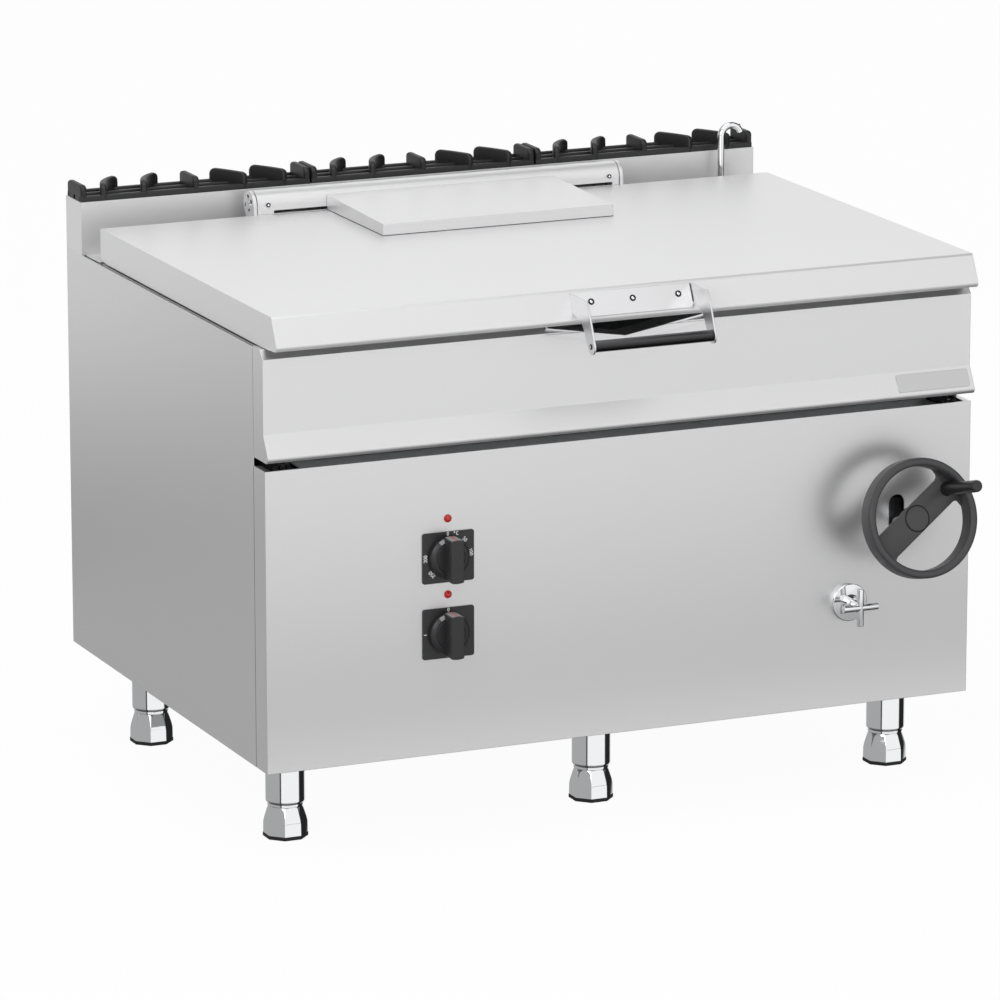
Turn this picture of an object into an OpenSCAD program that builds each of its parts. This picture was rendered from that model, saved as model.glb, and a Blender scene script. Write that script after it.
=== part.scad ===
// Tilting bratt pan. Millimetres, Z up, standing on Z = 0, centred over its plan outline.
// Inside the modules y = 0 is the front panel's face and z = 0 is the cabinet's lower edge.

/* [Cabinet] */
// Width over the side panels, the front panel and the fascia
cab_w = 1200; // [1100:10:1300]
// Depth from the front panel's face to the back panel
cab_d = 863; // [850:1:900]
// Thickness of the cabinet's sheet steel
sheet = 1.5; // [1:0.1:2]
// Height of the front panel
panel_h = 475; // [460:1:490]
// Depth of the front panel's side returns, up to the seam with the side panels
panel_return = 46; // [40:1:50]
// Height of the side panels above the front panel
side_rise = 184; // [180:1:190]
// Depth of the upstand behind the pan
upstand_d = 70; // [60:1:80]
// Height of the upstand above the side panels
upstand_rise = 87; // [80:1:105]
// Side of the square frame tubes
tube = 40; // [30:1:45]

/* [Legs] */
// Height of the cabinet above the floor, feet screwed in
leg_h = 140; // [136:1:160]
// Diameter of the leg tubes
leg_d = 63; // [58:1:65]
// Distance of the outer legs from the cabinet's sides
leg_side = 79; // [70:1:100]
// Distance of the front legs behind the front panel's face
leg_front = 127; // [100:1:140]
// Distance of the back legs in front of the back panel
leg_back = 149; // [120:1:170]
// Width of a foot over its corners
foot_d = 71; // [66:1:74]
// Diameter of a foot's stem
stem_d = 32; // [20:1:36]

/* [Pan] */
// Distance of the pan's inside from the cabinet's sides
pan_side = 50; // [48:1:100]
// Distance of the pan's inside in front of the upstand
pan_rear = 89; // [85:1:145]
// Inside depth of the pan below its rim
pan_deep = 169.5; // [150:0.5:175]
// Wall thickness of the pan
pan_wall = 2; // [1.5:0.5:3]
// Thickness of the pan's heated floor
floor_t = 12; // [10:1:15]
// Inside corner radius of the pan
pan_r = 30; // [20:1:50]
// Half width of the pouring notch
spout_half = 132; // [100:1:150]
// Depth of the pouring notch at its middle
spout_deep = 22; // [15:1:28]

/* [Tilting gear] */
// Largest tilt of the pan, in degrees
tilt_max = 70; // [60:1:70]
// Distance of the tilt axis behind the front panel's face
hinge_y = 17; // [16:0.5:18]
// Depth of the tilt axis below the front panel's top
hinge_drop = 9.5; // [9:0.5:11]
// Diameter of the hinge pins
pin_d = 14; // [10:1:16]
// Distance of the handwheel from the cabinet's side
wheel_side = 129; // [110:1:160]
// Depth of the handwheel shaft, where it passes the front panel, below the panel's top
shaft_drop = 182; // [175:1:190]
// Downward slope of the handwheel shaft towards the back, in degrees
shaft_tilt = 15; // [13:0.5:17]
// Distance of the screw jack behind the front panel
jack_y = 80; // [76:1:84]
// Sideways offset from the handwheel shaft to the jack's screw
jack_offset = 35; // [33:1:40]
// Diameter of the jack's screw
screw_d = 28; // [24:1:30]
// Diameter of the roller that lifts the pan
roller_d = 22; // [18:1:24]

/* [Handwheel] */
// Outside diameter of the handwheel
wheel_d = 190; // [170:1:200]
// Width of the rim seen from the front
rim_w = 13; // [11:0.5:15]
// Depth of the rim along the axis
rim_deep = 32; // [28:1:36]
// Width of the web across the rim
web_w = 45; // [40:1:50]
// Slope of the web, in degrees
web_angle = 36; // [0:1:90]
// Distance from the front panel to the web, along the shaft
web_reach = 76; // [70:1:84]
// Radius at which the crank grip stands
crank_r = 70.3; // [66:0.1:72]
// Length of the crank grip
grip_len = 96; // [80:1:110]
// Diameter of the crank grip
grip_d = 20; // [16:1:24]

/* [Controls] */
// Sideways place of the knobs, left of the middle
knob_x = -300; // [-340:1:-200]
// Depth of the upper knob below the front panel's top
knob_drop = 162; // [145:1:175]
// Distance between the two knobs
knob_pitch = 120; // [105:1:140]
// Width of a control plate
plate_w = 86; // [80:1:90]
// Height of a control plate
plate_h = 80; // [76:1:90]
// Diameter of a knob's skirt
knob_d = 66; // [56:1:70]
// Height of a lamp above the knob's centre
lamp_up = 60.5; // [50:0.5:64]
// Diameter of a lamp
lamp_d = 12; // [10:1:16]
// Distance of the water tap from the cabinet's side
tap_side = 212.5; // [200:0.5:230]
// Height of the water tap
tap_z = 169.5; // [150:0.5:180]
// Diameter of the tap's rosette
rosette_d = 60; // [50:1:70]
// Length of the bars of the tap's cross handle
cross_len = 60; // [50:1:70]
// Diameter of the bars of the tap's cross handle
cross_d = 11.5; // [8:0.5:13]

/* [Lid] */
// Distance of the lid's side skirts from the cabinet's sides
lid_side = 7.5; // [5:0.5:10]
// Height of the lid's top above the side panels
lid_rise = 56.5; // [53:0.5:59]
// Depth of the lid's front edge behind the panel's face
lid_front = -13; // [-20:0.5:-10]
// Outward reach of the sloping front flange
flange_out = 20; // [15:1:24]
// Height of the lid's flange and skirts
skirt_h = 51; // [49:0.5:52]
// Distance of the lid's rear edge in front of the upstand
lid_rear = 68; // [67:0.5:68]
// Thickness of the lid's sheet
lid_t = 1.5; // [1:0.1:2]
// Radius of the rolled hinge housing
roll_r = 22; // [20:0.5:22]
// Half length of the hinge housing
housing_half = 321; // [300:1:340]
// Half width of the cover plate on the lid
cover_half = 201; // [180:1:230]
// Depth of the cover plate, front to back
cover_deep = 236.5; // [200:0.5:260]
// Length of the handle's bar
handle_w = 200; // [160:1:240]
// Diameter of the handle's bar
handle_d = 18; // [15:1:22]

/* [Water spout] */
// Distance of the spout from the cabinet's side
spout_side = 71; // [60:1:100]
// Distance of the spout in front of the upstand
tap_pipe_gap = 22; // [20:1:24]
// Diameter of the spout's pipe
pipe_d = 12; // [10:0.5:14]
// Bend radius of the spout
bend_r = 18; // [16:1:24]

/* [Grates] */
// Number of grates on the upstand
grate_count = 3; // [3:1:3]
// Height of a grate's fins above the upstand
fin_h = 27; // [22:1:30]
// Thickness of a fin
fin_t = 10; // [8:1:12]
// Angle of the fanned fins, in degrees
fin_fan = 30; // [20:1:35]

/* [Hidden] */
$fn = 48;

// Clearances
run = 0.05;
seat = 0.3;
slip = 2;
steel = [0.78, 0.79, 0.8];
black = [0.08, 0.08, 0.09];
chrome = [0.85, 0.86, 0.88];

// Places worked out from the driving sizes
half_w = cab_w / 2;
inner_x = half_w - sheet;
side_h = panel_h + side_rise;
upstand_h = side_h + upstand_rise;
lid_top = side_h + lid_rise;
lid_back = cab_d - upstand_d - lid_rear;
leg_x = half_w - leg_side;
wheel_x = half_w - wheel_side;
shaft_z = panel_h - shaft_drop;
tap_x = half_w - tap_side;
tap_pipe_x = half_w - spout_side;
pan_w = cab_w - 2 * pan_side;
lid_w = cab_w - 2 * lid_side;
knob_z = panel_h - knob_drop;
fold_w = 3.5;
rim_gap = 2;
upstand_y = cab_d - upstand_d;
beam_x1 = half_w - 9;
beam_x0 = beam_x1 - tube;
post_back_y = upstand_y + 7;
leg_y = [leg_front, cab_d - leg_back];
pad_h = 6;
foot_up = 56;

hinge_z = panel_h - hinge_drop;
hinge_x = half_w - 34;
arm_t = 8;
ear_t = 6;
ear_gap = 3;
eye_r = pin_d / 2 + 6;
bracket_z = hinge_z - 40;

rim_z = side_h + 0.5;
rim_t = 3;
rim_half = half_w - fold_w - rim_gap;
floor_top = rim_z - pan_deep;
floor_low = floor_top - floor_t;
pan_front = panel_return + 2;
pan_back = upstand_y - pan_rear;
rail_low = hinge_z - 25.5;
rail_w = 30;
rail_y0 = hinge_y + 23;
rail_y1 = pan_back + 14;
rest_top = rail_low - 8;
channel_h = 23;
shield_z = rail_low + channel_h;
rim_back = lid_back - 5;

fascia_face = 5.5;
fascia_lip = -13;
fascia_low = hinge_z + 23.5;
fascia_t = 1.5;
hem_r = 8;
fascia_top = rim_z + fascia_t;

jack_z = shaft_z - jack_y * tan(shaft_tilt);
jack_x = wheel_x - jack_offset;
arm_d = (jack_y - hinge_y) * cos(shaft_tilt) + (hinge_z - jack_z) * sin(shaft_tilt);
hinge_up = (hinge_y - jack_y) * sin(shaft_tilt) + (hinge_z - jack_z) * cos(shaft_tilt);
half_rise = arm_d * tan(tilt_max / 2);
stroke = 2 * half_rise;
roller_z = hinge_up - half_rise;
lever_t = 10;
lever_front = 40;
lever_back = 185;
lever_edge = roller_d / 2 + 12;
fork_gap = lever_t / 2 + 1.5;
fork_t = 6;
fork_drop = 39;
box_half = 36;
shaft_d = 20;
web_t = 7.3;
web_front = -(jack_y / cos(shaft_tilt) + web_reach - 2);
rim_front = web_front - 24.7;
grip_foot = 10;
grip_round = 2.5;
grip_front = web_front - grip_foot - grip_len;
crank_up = crank_r * sin(web_angle);
front_reach = jack_y + (grip_front + grip_round) * cos(shaft_tilt)
    + (crank_up - grip_d / 2 + 0.5 + grip_round) * sin(shaft_tilt) - grip_round;
y_mid = (cab_d + front_reach) / 2;

roll_y = lid_back + roll_r + 1;
roll_z = lid_top + 14.5;
housing_low = lid_top - 2;
skirt_z = lid_top - skirt_h;
skirt_low = rim_z + 2.5;
handle_y = lid_front - 82;
handle_z = lid_top - 72;
spout_y = upstand_y - tap_pipe_gap;
bend_z = side_h + 114;
bend_end = 160;
fin_top = upstand_h + fin_h;
grate_pitch = cab_w / grate_count;
supply_x = tap_x - 27;
gland_x = 200 - half_w;
inlet_y = cab_d - 50;
grate_base = 9;

// Box between two corners
module span(lo, hi) {
    translate(lo)
        cube(hi - lo);
}

// Profile in y and z, drawn out along x from x0 to x1
module along_x(x0, x1) {
    translate([x0, 0, 0])
        rotate([90, 0, 90])
            linear_extrude(x1 - x0)
                children();
}

// Profile in x and z, drawn out along y from y0 to y1
module along_y(y0, y1) {
    translate([0, y1, 0])
        rotate([90, 0, 0])
            linear_extrude(y1 - y0)
                children();
}

// Round bar along x through the point y, z
module bar_x(x0, x1, y, z, d) {
    translate([x0, y, z])
        rotate([0, 90, 0])
            cylinder(d = d, h = x1 - x0);
}

// Rectangle with round corners, centred
module round_rect(w, h, r) {
    square([w - 2 * r, h], center = true);
    square([w, h - 2 * r], center = true);
    for (sx = [-1, 1], sy = [-1, 1])
        translate([sx * (w / 2 - r), sy * (h / 2 - r)])
            circle(r);
}

// Plate with round corners between two plan corners
module round_plate(lo, hi, r) {
    size = hi - lo;
    translate([(lo.x + hi.x) / 2, (lo.y + hi.y) / 2, lo.z])
        linear_extrude(size.z)
            round_rect(size.x, size.y, r);
}

// Quarter of a round fold: a sheet of thickness t that turns from down to back, from the point y, z
module curl(y, z, r, t) {
    translate([y + r, z])
        intersection() {
            difference() {
                circle(r);
                circle(r - t);
            }
            translate([-r - 1, -r - 1])
                square(r + 1);
        }
}

// Moves a piece from the cabinet's own corner of reference to the standing part
module place() {
    translate([0, -y_mid, leg_h])
        children();
}

// Both sides: the children and their mirror image
module both() {
    children();
    mirror([1, 0, 0])
        children();
}

// Frame on the front panel: x right, y up, z out of the panel
module on_panel(x, z) {
    translate([x, 0, z])
        rotate([90, 0, 0])
            children();
}

// Frame of the screw jack: y back along the handwheel shaft, z up along the screw
module drive(x) {
    translate([x, jack_y, jack_z])
        rotate([-shaft_tilt, 0, 0])
            children();
}

// Points of a round arc
function arc(c, r, a0, a1, n = 8) = [for (i = [0:n]) c + r * [cos(a0 + (a1 - a0) * i / n),
    sin(a0 + (a1 - a0) * i / n)]];

// Place of the lifting roller at one tilt, in the pan's own y and z from the tilt axis
function roller_at(t) = let (a = -shaft_tilt - t, q = stroke * t / tilt_max - half_rise)
    [arm_d * cos(a) - q * sin(a), arm_d * sin(a) + q * cos(a)];

// Outline of the pouring notch, lowered by drop
function notch(drop) = [[-spout_half - 1, rim_z + 20], [-spout_half - 1, rim_z - 4.5 - drop],
    [0, rim_z - 4.5 - spout_deep - drop], [spout_half + 1, rim_z - 4.5 - drop], [spout_half + 1, rim_z + 20]];

// Front panel folded from one sheet, with the openings for the controls and the hinge arms
module front_panel() {
    slot_w = 27;
    slot_h = 85;
    color(steel) place()
        difference() {
            union() {
                span([-half_w, 0, 0], [half_w, sheet, panel_h]);
                both()
                    span([inner_x, 0, 0], [half_w, panel_return, panel_h]);
                span([-inner_x, 0, panel_h - sheet], [inner_x, panel_return - 1, panel_h]);
                span([-inner_x, 0, 0], [inner_x, panel_return / 2, sheet]);
            }
            both()
                span([beam_x0 - 10, 4, panel_h - 2 * sheet], [beam_x1 - 2, panel_return, panel_h + 1]);
            on_panel(wheel_x, shaft_z)
                translate([0, 0, -10])
                    linear_extrude(20) {
                        square([slot_w, slot_h - slot_w], center = true);
                        for (s = [-1, 1])
                            translate([0, s * (slot_h - slot_w) / 2])
                                circle(d = slot_w);
                    }
            for (i = [0, 1]) {
                on_panel(knob_x, knob_z - i * knob_pitch)
                    translate([0, 0, -10])
                        cylinder(d = 12, h = 20);
                on_panel(knob_x, knob_z - i * knob_pitch + lamp_up)
                    translate([0, 0, -10])
                        cylinder(d = lamp_d - 2 + 2 * run, h = 20);
            }
            on_panel(tap_x, tap_z)
                translate([0, 0, -10])
                    cylinder(d = 24, h = 20);
        }
}

// Side panel with a narrow fold along its top
module side_panel() {
    span([inner_x, panel_return + 1, 0], [half_w, cab_d - sheet, side_h]);
    span([half_w - fold_w, panel_return + 1, side_h - sheet], [half_w, upstand_y, side_h]);
}

module left_side_panel() {
    color(steel) place()
        mirror([1, 0, 0])
            side_panel();
}

module right_side_panel() {
    color(steel) place()
        side_panel();
}

module back_panel() {
    color(steel) place()
        span([-half_w, cab_d - sheet, 0], [half_w, cab_d, upstand_h]);
}

module base_tray() {
    color(steel) place()
        difference() {
            span([-inner_x, panel_return / 2 + 1, 0], [inner_x, cab_d - sheet, sheet]);
            for (x = [supply_x, gland_x])
                translate([x, inlet_y, -1])
                    cylinder(d = 16, h = 4);
        }
}

// Ledge between the pan and the upstand, open in the middle for the hinge housing's feet
module rear_ledge() {
    open_half = housing_half + 14;
    ledge_y = lid_back + 10;
    color(steel) place()
        difference() {
            union() {
                span([-half_w + 8, ledge_y, side_h - sheet], [half_w - 8, upstand_y, side_h]);
                span([-half_w + 8, ledge_y, side_h - 20], [half_w - 8, ledge_y + sheet, side_h]);
            }
            span([-open_half, ledge_y - 1, side_h - 30], [open_half, upstand_y - 15, side_h + 1]);
            translate([tap_pipe_x, spout_y, side_h - 10])
                cylinder(d = 18, h = 20);
        }
}

// Folded upstand, hollow, with one long vent under each grate
module upstand() {
    color(steel) place()
        difference() {
            span([-half_w, upstand_y, side_h], [half_w, cab_d - sheet, upstand_h]);
            span([-inner_x, upstand_y + sheet, side_h - 1], [inner_x, cab_d, upstand_h - sheet]);
            for (i = [0:grate_count - 1])
                translate([(i - (grate_count - 1) / 2) * grate_pitch, 0, 0])
                    span([-grate_pitch / 2 + 25, upstand_y + 24, upstand_h - 5],
                        [grate_pitch / 2 - 25, cab_d - 24, upstand_h + 5]);
        }
}

// One fin: a plate with rounded upper corners, standing along y
module fin(length) {
    r = 10;
    along_x(-fin_t / 2, fin_t / 2)
        polygon(concat([[length / 2 + 2, upstand_h]], arc([length / 2 - r, fin_top - r], r, 0, 90, 4),
            arc([-length / 2 + r, fin_top - r], r, 90, 180, 4), [[-length / 2 - 2, upstand_h]]));
}

// Cast grate: three long bars joined by fins, two pairs of which are fanned
module grate(i) {
    deep = upstand_d - 4;
    half = grate_pitch / 2 - 1.5;
    rows = [-deep / 2 + 5, 0, deep / 2 - 5];
    fins = [[-half + fin_t / 2, 0], [-half * 0.69, -1], [-half * 0.34, -1], [0, 0], [half * 0.34, 1],
        [half * 0.69, 1], [half - fin_t / 2, 0]];
    color(black) place()
        translate([(i - (grate_count - 1) / 2) * grate_pitch, upstand_y + upstand_d / 2, 0]) {
            for (y = rows)
                span([-half, y - 5, upstand_h], [half, y + 5, upstand_h + grate_base]);
            for (f = fins)
                translate([f[0], 0, 0])
                    rotate([0, 0, f[1] * fin_fan])
                        fin(deep - 4);
        }
}

module grate_left() {
    grate(0);
}

module grate_middle() {
    grate(1);
}

module grate_right() {
    grate(2);
}

// Lower frame: a beam along each side
module side_beams() {
    color(black) place()
        both()
            span([beam_x0, 4, sheet], [beam_x1, cab_d - 4, sheet + tube]);
}

// Lower frame: cross beams over the legs
module cross_beams() {
    color(black) place()
        for (y = leg_y)
            span([-beam_x0, y - tube / 2, sheet], [beam_x0, y + tube / 2, sheet + tube]);
}

module frame_posts() {
    color(black) place()
        both() {
            span([beam_x0, 4, sheet + tube], [beam_x1, 4 + tube, bracket_z - 6]);
            span([beam_x0, post_back_y, sheet + tube], [beam_x1, post_back_y + tube, upstand_h - sheet]);
        }
}

module upper_rails() {
    color(black) place()
        both()
            span([beam_x0, 4 + tube, rest_top - tube], [beam_x1, post_back_y, rest_top]);
}

// Fork of two ears on top of each front post, holding the hinge pin
module hinge_brackets() {
    ear_in = arm_t / 2 + ear_gap;
    color(black) place()
        both()
            difference() {
                union() {
                    span([beam_x0, 4, bracket_z - 6], [beam_x1, 4 + tube, bracket_z]);
                    for (x = [hinge_x - ear_in - ear_t, hinge_x + ear_in]) {
                        bar_x(x, x + ear_t, hinge_y, hinge_z, 2 * eye_r - 1);
                        span([x, hinge_y - eye_r + 0.5, bracket_z], [x + ear_t, hinge_y + eye_r - 0.5, hinge_z]);
                    }
                }
                bar_x(hinge_x - 30, hinge_x + 30, hinge_y, hinge_z, pin_d + 2 * run);
            }
}

module hinge_pins() {
    end = arm_t / 2 + ear_gap + ear_t;
    color(steel) place()
        both() {
            bar_x(hinge_x - end - 3, hinge_x + end, hinge_y, hinge_z, pin_d);
            bar_x(hinge_x + end, hinge_x + end + 3, hinge_y, hinge_z, pin_d + 6);
        }
}

// Rubber stops under the back of the pan's rails
module rest_buffers() {
    color(black) place()
        both()
            translate([hinge_x, pan_back - 30, rest_top])
                cylinder(d = 26, h = rail_low - rest_top - seat);
}

// Legs: round tubes with a bore for the stem of the foot
module leg_tubes() {
    foot_top = foot_up - leg_h;
    color(chrome) place()
        for (x = [-leg_x, 0, leg_x], y = leg_y)
            translate([x, y, 0])
                rotate_extrude()
                    polygon(concat([[stem_d / 2 + run, foot_top + seat]],
                        arc([leg_d / 2 - 4, foot_top + seat + 4], 4, -90, 0, 4),
                        [[leg_d / 2, 0], [stem_d / 2 + run, 0]]));
}

// Foot: stem, collar, flared eight-sided base and rubber pad, as one screwed-in unit
module foot(x, y) {
    translate([x, y, -leg_h])
        rotate([0, 0, 22.5]) {
            color(black)
                cylinder(d = foot_d, h = pad_h, $fn = 8);
            color(chrome) {
                translate([0, 0, pad_h])
                    cylinder(d = foot_d - 1, h = 21, $fn = 8);
                translate([0, 0, pad_h + 21])
                    cylinder(d1 = foot_d - 1, d2 = leg_d - 9, h = 24, $fn = 8);
                translate([0, 0, pad_h + 45])
                    cylinder(d = leg_d - 12, h = foot_up - pad_h - 45);
                translate([0, 0, foot_up - 1])
                    cylinder(d = stem_d, h = 61);
            }
        }
}

module foot_front_left() {
    place()
        foot(-leg_x, leg_y[0]);
}

module foot_front_middle() {
    place()
        foot(0, leg_y[0]);
}

module foot_front_right() {
    place()
        foot(leg_x, leg_y[0]);
}

module foot_back_left() {
    place()
        foot(-leg_x, leg_y[1]);
}

module foot_back_middle() {
    place()
        foot(0, leg_y[1]);
}

module foot_back_right() {
    place()
        foot(leg_x, leg_y[1]);
}

// Two cheeks that carry the jack housing, standing on the front cross beam
module jack_stand() {
    cheek_t = 8;
    x0 = jack_x - box_half + 1;
    x1 = wheel_x + box_half - 1;
    base_z = sheet + tube;
    y0 = leg_front - tube / 2;
    color(black) place()
        for (x = [x0 - cheek_t, x1])
            along_x(x, x + cheek_t)
                polygon([[y0, base_z], [y0 + tube, base_z], [y0 + tube, jack_z - 60],
                    [jack_y + 40, jack_z + 18], [jack_y - 5, jack_z + 30], [jack_y - 16, jack_z - 22]]);
}

// Housing of the worm gear that turns the shaft's rotation into the screw's lift
module jack_housing() {
    x0 = jack_x - box_half + 1 - wheel_x;
    x1 = box_half - 1;
    color(steel) place()
        drive(wheel_x)
            difference() {
                union() {
                    span([x0, -box_half, -box_half], [x1, box_half, box_half]);
                    translate([0, -box_half, 0])
                        rotate([90, 0, 0])
                            cylinder(d = shaft_d + 20, h = 10);
                }
                translate([0, -box_half + 16, 0])
                    rotate([90, 0, 0])
                        cylinder(d = shaft_d + 2 * run, h = 30);
                translate([-jack_offset, 0, -box_half - 1])
                    cylinder(d = screw_d + 2 * run, h = 2 * box_half + 2);
            }
}

// Tube that covers the screw's lower end
module jack_cover_tube() {
    tail = stroke + 22;
    color(black) place()
        drive(jack_x)
            translate([0, 0, -box_half - tail + 8])
                difference() {
                    cylinder(d = screw_d + 10, h = tail - 8);
                    translate([0, 0, 2])
                        cylinder(d = screw_d + 3, h = tail);
                }
}

// Lifting screw, its fork and the roller's pin; it slides through the housing
module jack_screw() {
    tail = stroke + 10;
    pitch = 8;
    low = -box_half - tail;
    high = roller_z - fork_drop - 8;
    r = screw_d / 2;
    color(steel) place()
        drive(jack_x) {
            rotate_extrude()
                polygon(concat([[0, low]], [for (z = [low:pitch:high - pitch], p = [[r - 2, 0], [r - 2, pitch * 0.3],
                    [r, pitch * 0.45], [r, pitch * 0.85]]) [p[0], z + p[1]]], [[r - 2, high], [0, high]]));
            span([-fork_gap - fork_t, -14, high], [fork_gap + fork_t, 14, high + 8]);
            for (x = [-fork_gap - fork_t, fork_gap]) {
                span([x, -14, high + 8], [x + fork_t, 14, roller_z]);
                bar_x(x, x + fork_t, 0, roller_z, 28);
            }
            bar_x(-fork_gap - fork_t - 3, fork_gap + fork_t + 3, 0, roller_z, 12);
        }
}

module jack_roller() {
    color(steel) place()
        drive(jack_x)
            difference() {
                bar_x(-fork_gap + 0.5, fork_gap - 0.5, 0, roller_z, roller_d);
                bar_x(-20, 20, 0, roller_z, 12 + 2 * run);
            }
}

module control_plates() {
    color(black) place()
        for (i = [0, 1])
            on_panel(knob_x, knob_z - i * knob_pitch)
                difference() {
                    linear_extrude(2)
                        round_rect(plate_w, plate_h, 4);
                    translate([0, 0, -1])
                        cylinder(d = 12, h = 4);
                }
}

// Thermostat and switch behind the panel, with the spindles that carry the knobs
module control_switches() {
    color(black) place()
        for (i = [0, 1])
            on_panel(knob_x, knob_z - i * knob_pitch) {
                translate([-24, -24, -46])
                    cube([48, 48, 46 - sheet]);
                translate([0, 0, -sheet])
                    cylinder(d = 8, h = 20);
            }
}

// Lamps: a red dome in front and a socket behind the panel
module indicator_lamps() {
    color("red") place()
        for (i = [0, 1])
            on_panel(knob_x, knob_z - i * knob_pitch + lamp_up) {
                rotate_extrude()
                    polygon(concat([[0, 0], [lamp_d / 2, 0]], arc([0, 0.5], lamp_d / 2, 0, 90, 6)));
                translate([0, 0, -30])
                    cylinder(d = lamp_d - 2, h = 30);
            }
}

// Knob: bevelled skirt and a grip bar across it
module knob() {
    skirt = 8;
    bar_w = 20;
    face = 34;
    difference() {
        union() {
            rotate_extrude()
                polygon([[0, 0], [knob_d / 2, 0], [knob_d / 2, 2], [knob_d / 2 - 5, skirt], [0, skirt]]);
            linear_extrude(face - 2.5)
                intersection() {
                    square([bar_w, knob_d + 2], center = true);
                    circle(knob_d / 2);
                }
        }
        translate([0, 0, -1])
            cylinder(d = 8 + 2 * run, h = 18);
    }
}

module thermostat_knob() {
    color(black) place()
        on_panel(knob_x, knob_z)
            translate([0, 0, 2 + seat])
                knob();
}

module switch_knob() {
    color(black) place()
        on_panel(knob_x, knob_z - knob_pitch)
            translate([0, 0, 2 + seat])
                knob();
}

module tap_rosette() {
    r = rosette_d / 2;
    color(chrome) place()
        on_panel(tap_x, tap_z)
            difference() {
                rotate_extrude()
                    polygon([[0, 0], [r, 0], [r, 2], [r - 4, 7], [r - 12, 11], [14, 13], [12, 24], [0, 24]]);
                translate([0, 0, -1])
                    cylinder(d = 16, h = 30);
            }
}

// Valve behind the panel, its neck through the rosette and the spindle of the handle
module tap_valve() {
    color("gold") place()
        on_panel(tap_x, tap_z) {
            translate([0, 0, -60])
                cylinder(d = 34, h = 60 - sheet - seat);
            translate([0, 0, -2 * sheet])
                cylinder(d = 14, h = 27);
            translate([0, 0, 20])
                cylinder(d = 8, h = 20);
        }
}

// Cross handle: a hub with two bars
module tap_handle() {
    hub_z = 43;
    color(chrome) place()
        on_panel(tap_x, tap_z)
            difference() {
                union() {
                    translate([0, 0, 24 + seat])
                        cylinder(d = 19, h = hub_z - 24 - seat);
                    translate([-cross_len / 2, 0, hub_z])
                        rotate([0, 90, 0])
                            cylinder(d = cross_d, h = cross_len);
                    translate([0, cross_len / 2, hub_z])
                        rotate([90, 0, 0])
                            cylinder(d = cross_d, h = cross_len);
                }
                translate([0, 0, 20])
                    cylinder(d = 8 + 2 * run, h = 21);
            }
}

// Water lines: from the inlet under the base to the valve, and from the valve to the spout's collar
module water_pipe() {
    d = 12;
    out_x = supply_x - 22;
    valve_x = tap_x - 16.9;
    color("gold") place() {
        translate([supply_x, 30, tap_z - 8])
            rotate([0, 90, 0])
                cylinder(d = d, h = valve_x - supply_x);
        translate([supply_x, 30 - d / 2, tap_z - 8])
            rotate([-90, 0, 0])
                cylinder(d = d, h = inlet_y - 30 + d);
        translate([supply_x, inlet_y, -18])
            cylinder(d = d, h = tap_z + 10);
        translate([supply_x, inlet_y, -20])
            cylinder(d = 21, h = 20 - seat);
        difference() {
            union() {
                translate([out_x, 48, tap_z + 8])
                    rotate([0, 90, 0])
                        cylinder(d = d, h = valve_x - out_x);
                translate([out_x, 48 - d / 2, tap_z + 8])
                    rotate([-90, 0, 0])
                        cylinder(d = d, h = spout_y - 48 + d);
                translate([out_x, spout_y, tap_z + 8])
                    rotate([0, 90, 0])
                        cylinder(d = d, h = tap_pipe_x - out_x);
                translate([tap_pipe_x, spout_y, tap_z + 8 - d / 2])
                    cylinder(d = 15, h = side_h - tap_z);
                translate([tap_pipe_x, spout_y, side_h])
                    cylinder(d = 22, h = 13);
            }
            translate([tap_pipe_x, spout_y, side_h + 3])
                cylinder(d = pipe_d + 2 * run, h = 20);
        }
    }
}

module water_spout() {
    color(chrome) place()
        translate([tap_pipe_x, spout_y, 0]) {
            translate([0, 0, side_h + 3 + seat])
                cylinder(d = pipe_d - run, h = bend_z - side_h - 3 - seat + 0.5);
            translate([bend_r, 0, bend_z])
                rotate([90, 0, 0])
                    rotate([0, 0, 180 - bend_end])
                        rotate_extrude(angle = bend_end)
                            translate([bend_r, 0])
                                circle(d = pipe_d);
        }
}

module terminal_box() {
    half = 80;
    low = 60;
    color(steel) place()
        span([gland_x - half, cab_d - 70, low], [gland_x + half, cab_d - sheet, low + 180]);
}

module cable_gland() {
    color(black) place()
        translate([gland_x, inlet_y, -18])
            difference() {
                cylinder(d = 28, h = 18 - seat);
                translate([0, 0, -1])
                    cylinder(d = 14, h = 20);
            }
}

// Pan: four walls with round corners and a flat rim
module pan_vessel() {
    r = pan_r + pan_wall;
    color(steel) place()
        difference() {
            union() {
                round_plate([-rim_half, hinge_y + 4, rim_z - rim_t], [rim_half, rim_back, rim_z], 12);
                round_plate([-pan_w / 2 - pan_wall, pan_front - pan_wall, floor_top],
                    [pan_w / 2 + pan_wall, pan_back + pan_wall, rim_z - 1], r);
            }
            round_plate([-pan_w / 2, pan_front, floor_top - 1], [pan_w / 2, pan_back, rim_z + 1], pan_r);
            along_y(0, pan_front + 5)
                polygon(notch(2.9));
        }
}

module pan_floor() {
    r = pan_r + pan_wall;
    color(steel) place()
        round_plate([-pan_w / 2 - pan_wall, pan_front - pan_wall, floor_low],
            [pan_w / 2 + pan_wall, pan_back + pan_wall, floor_top], r);
}

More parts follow.
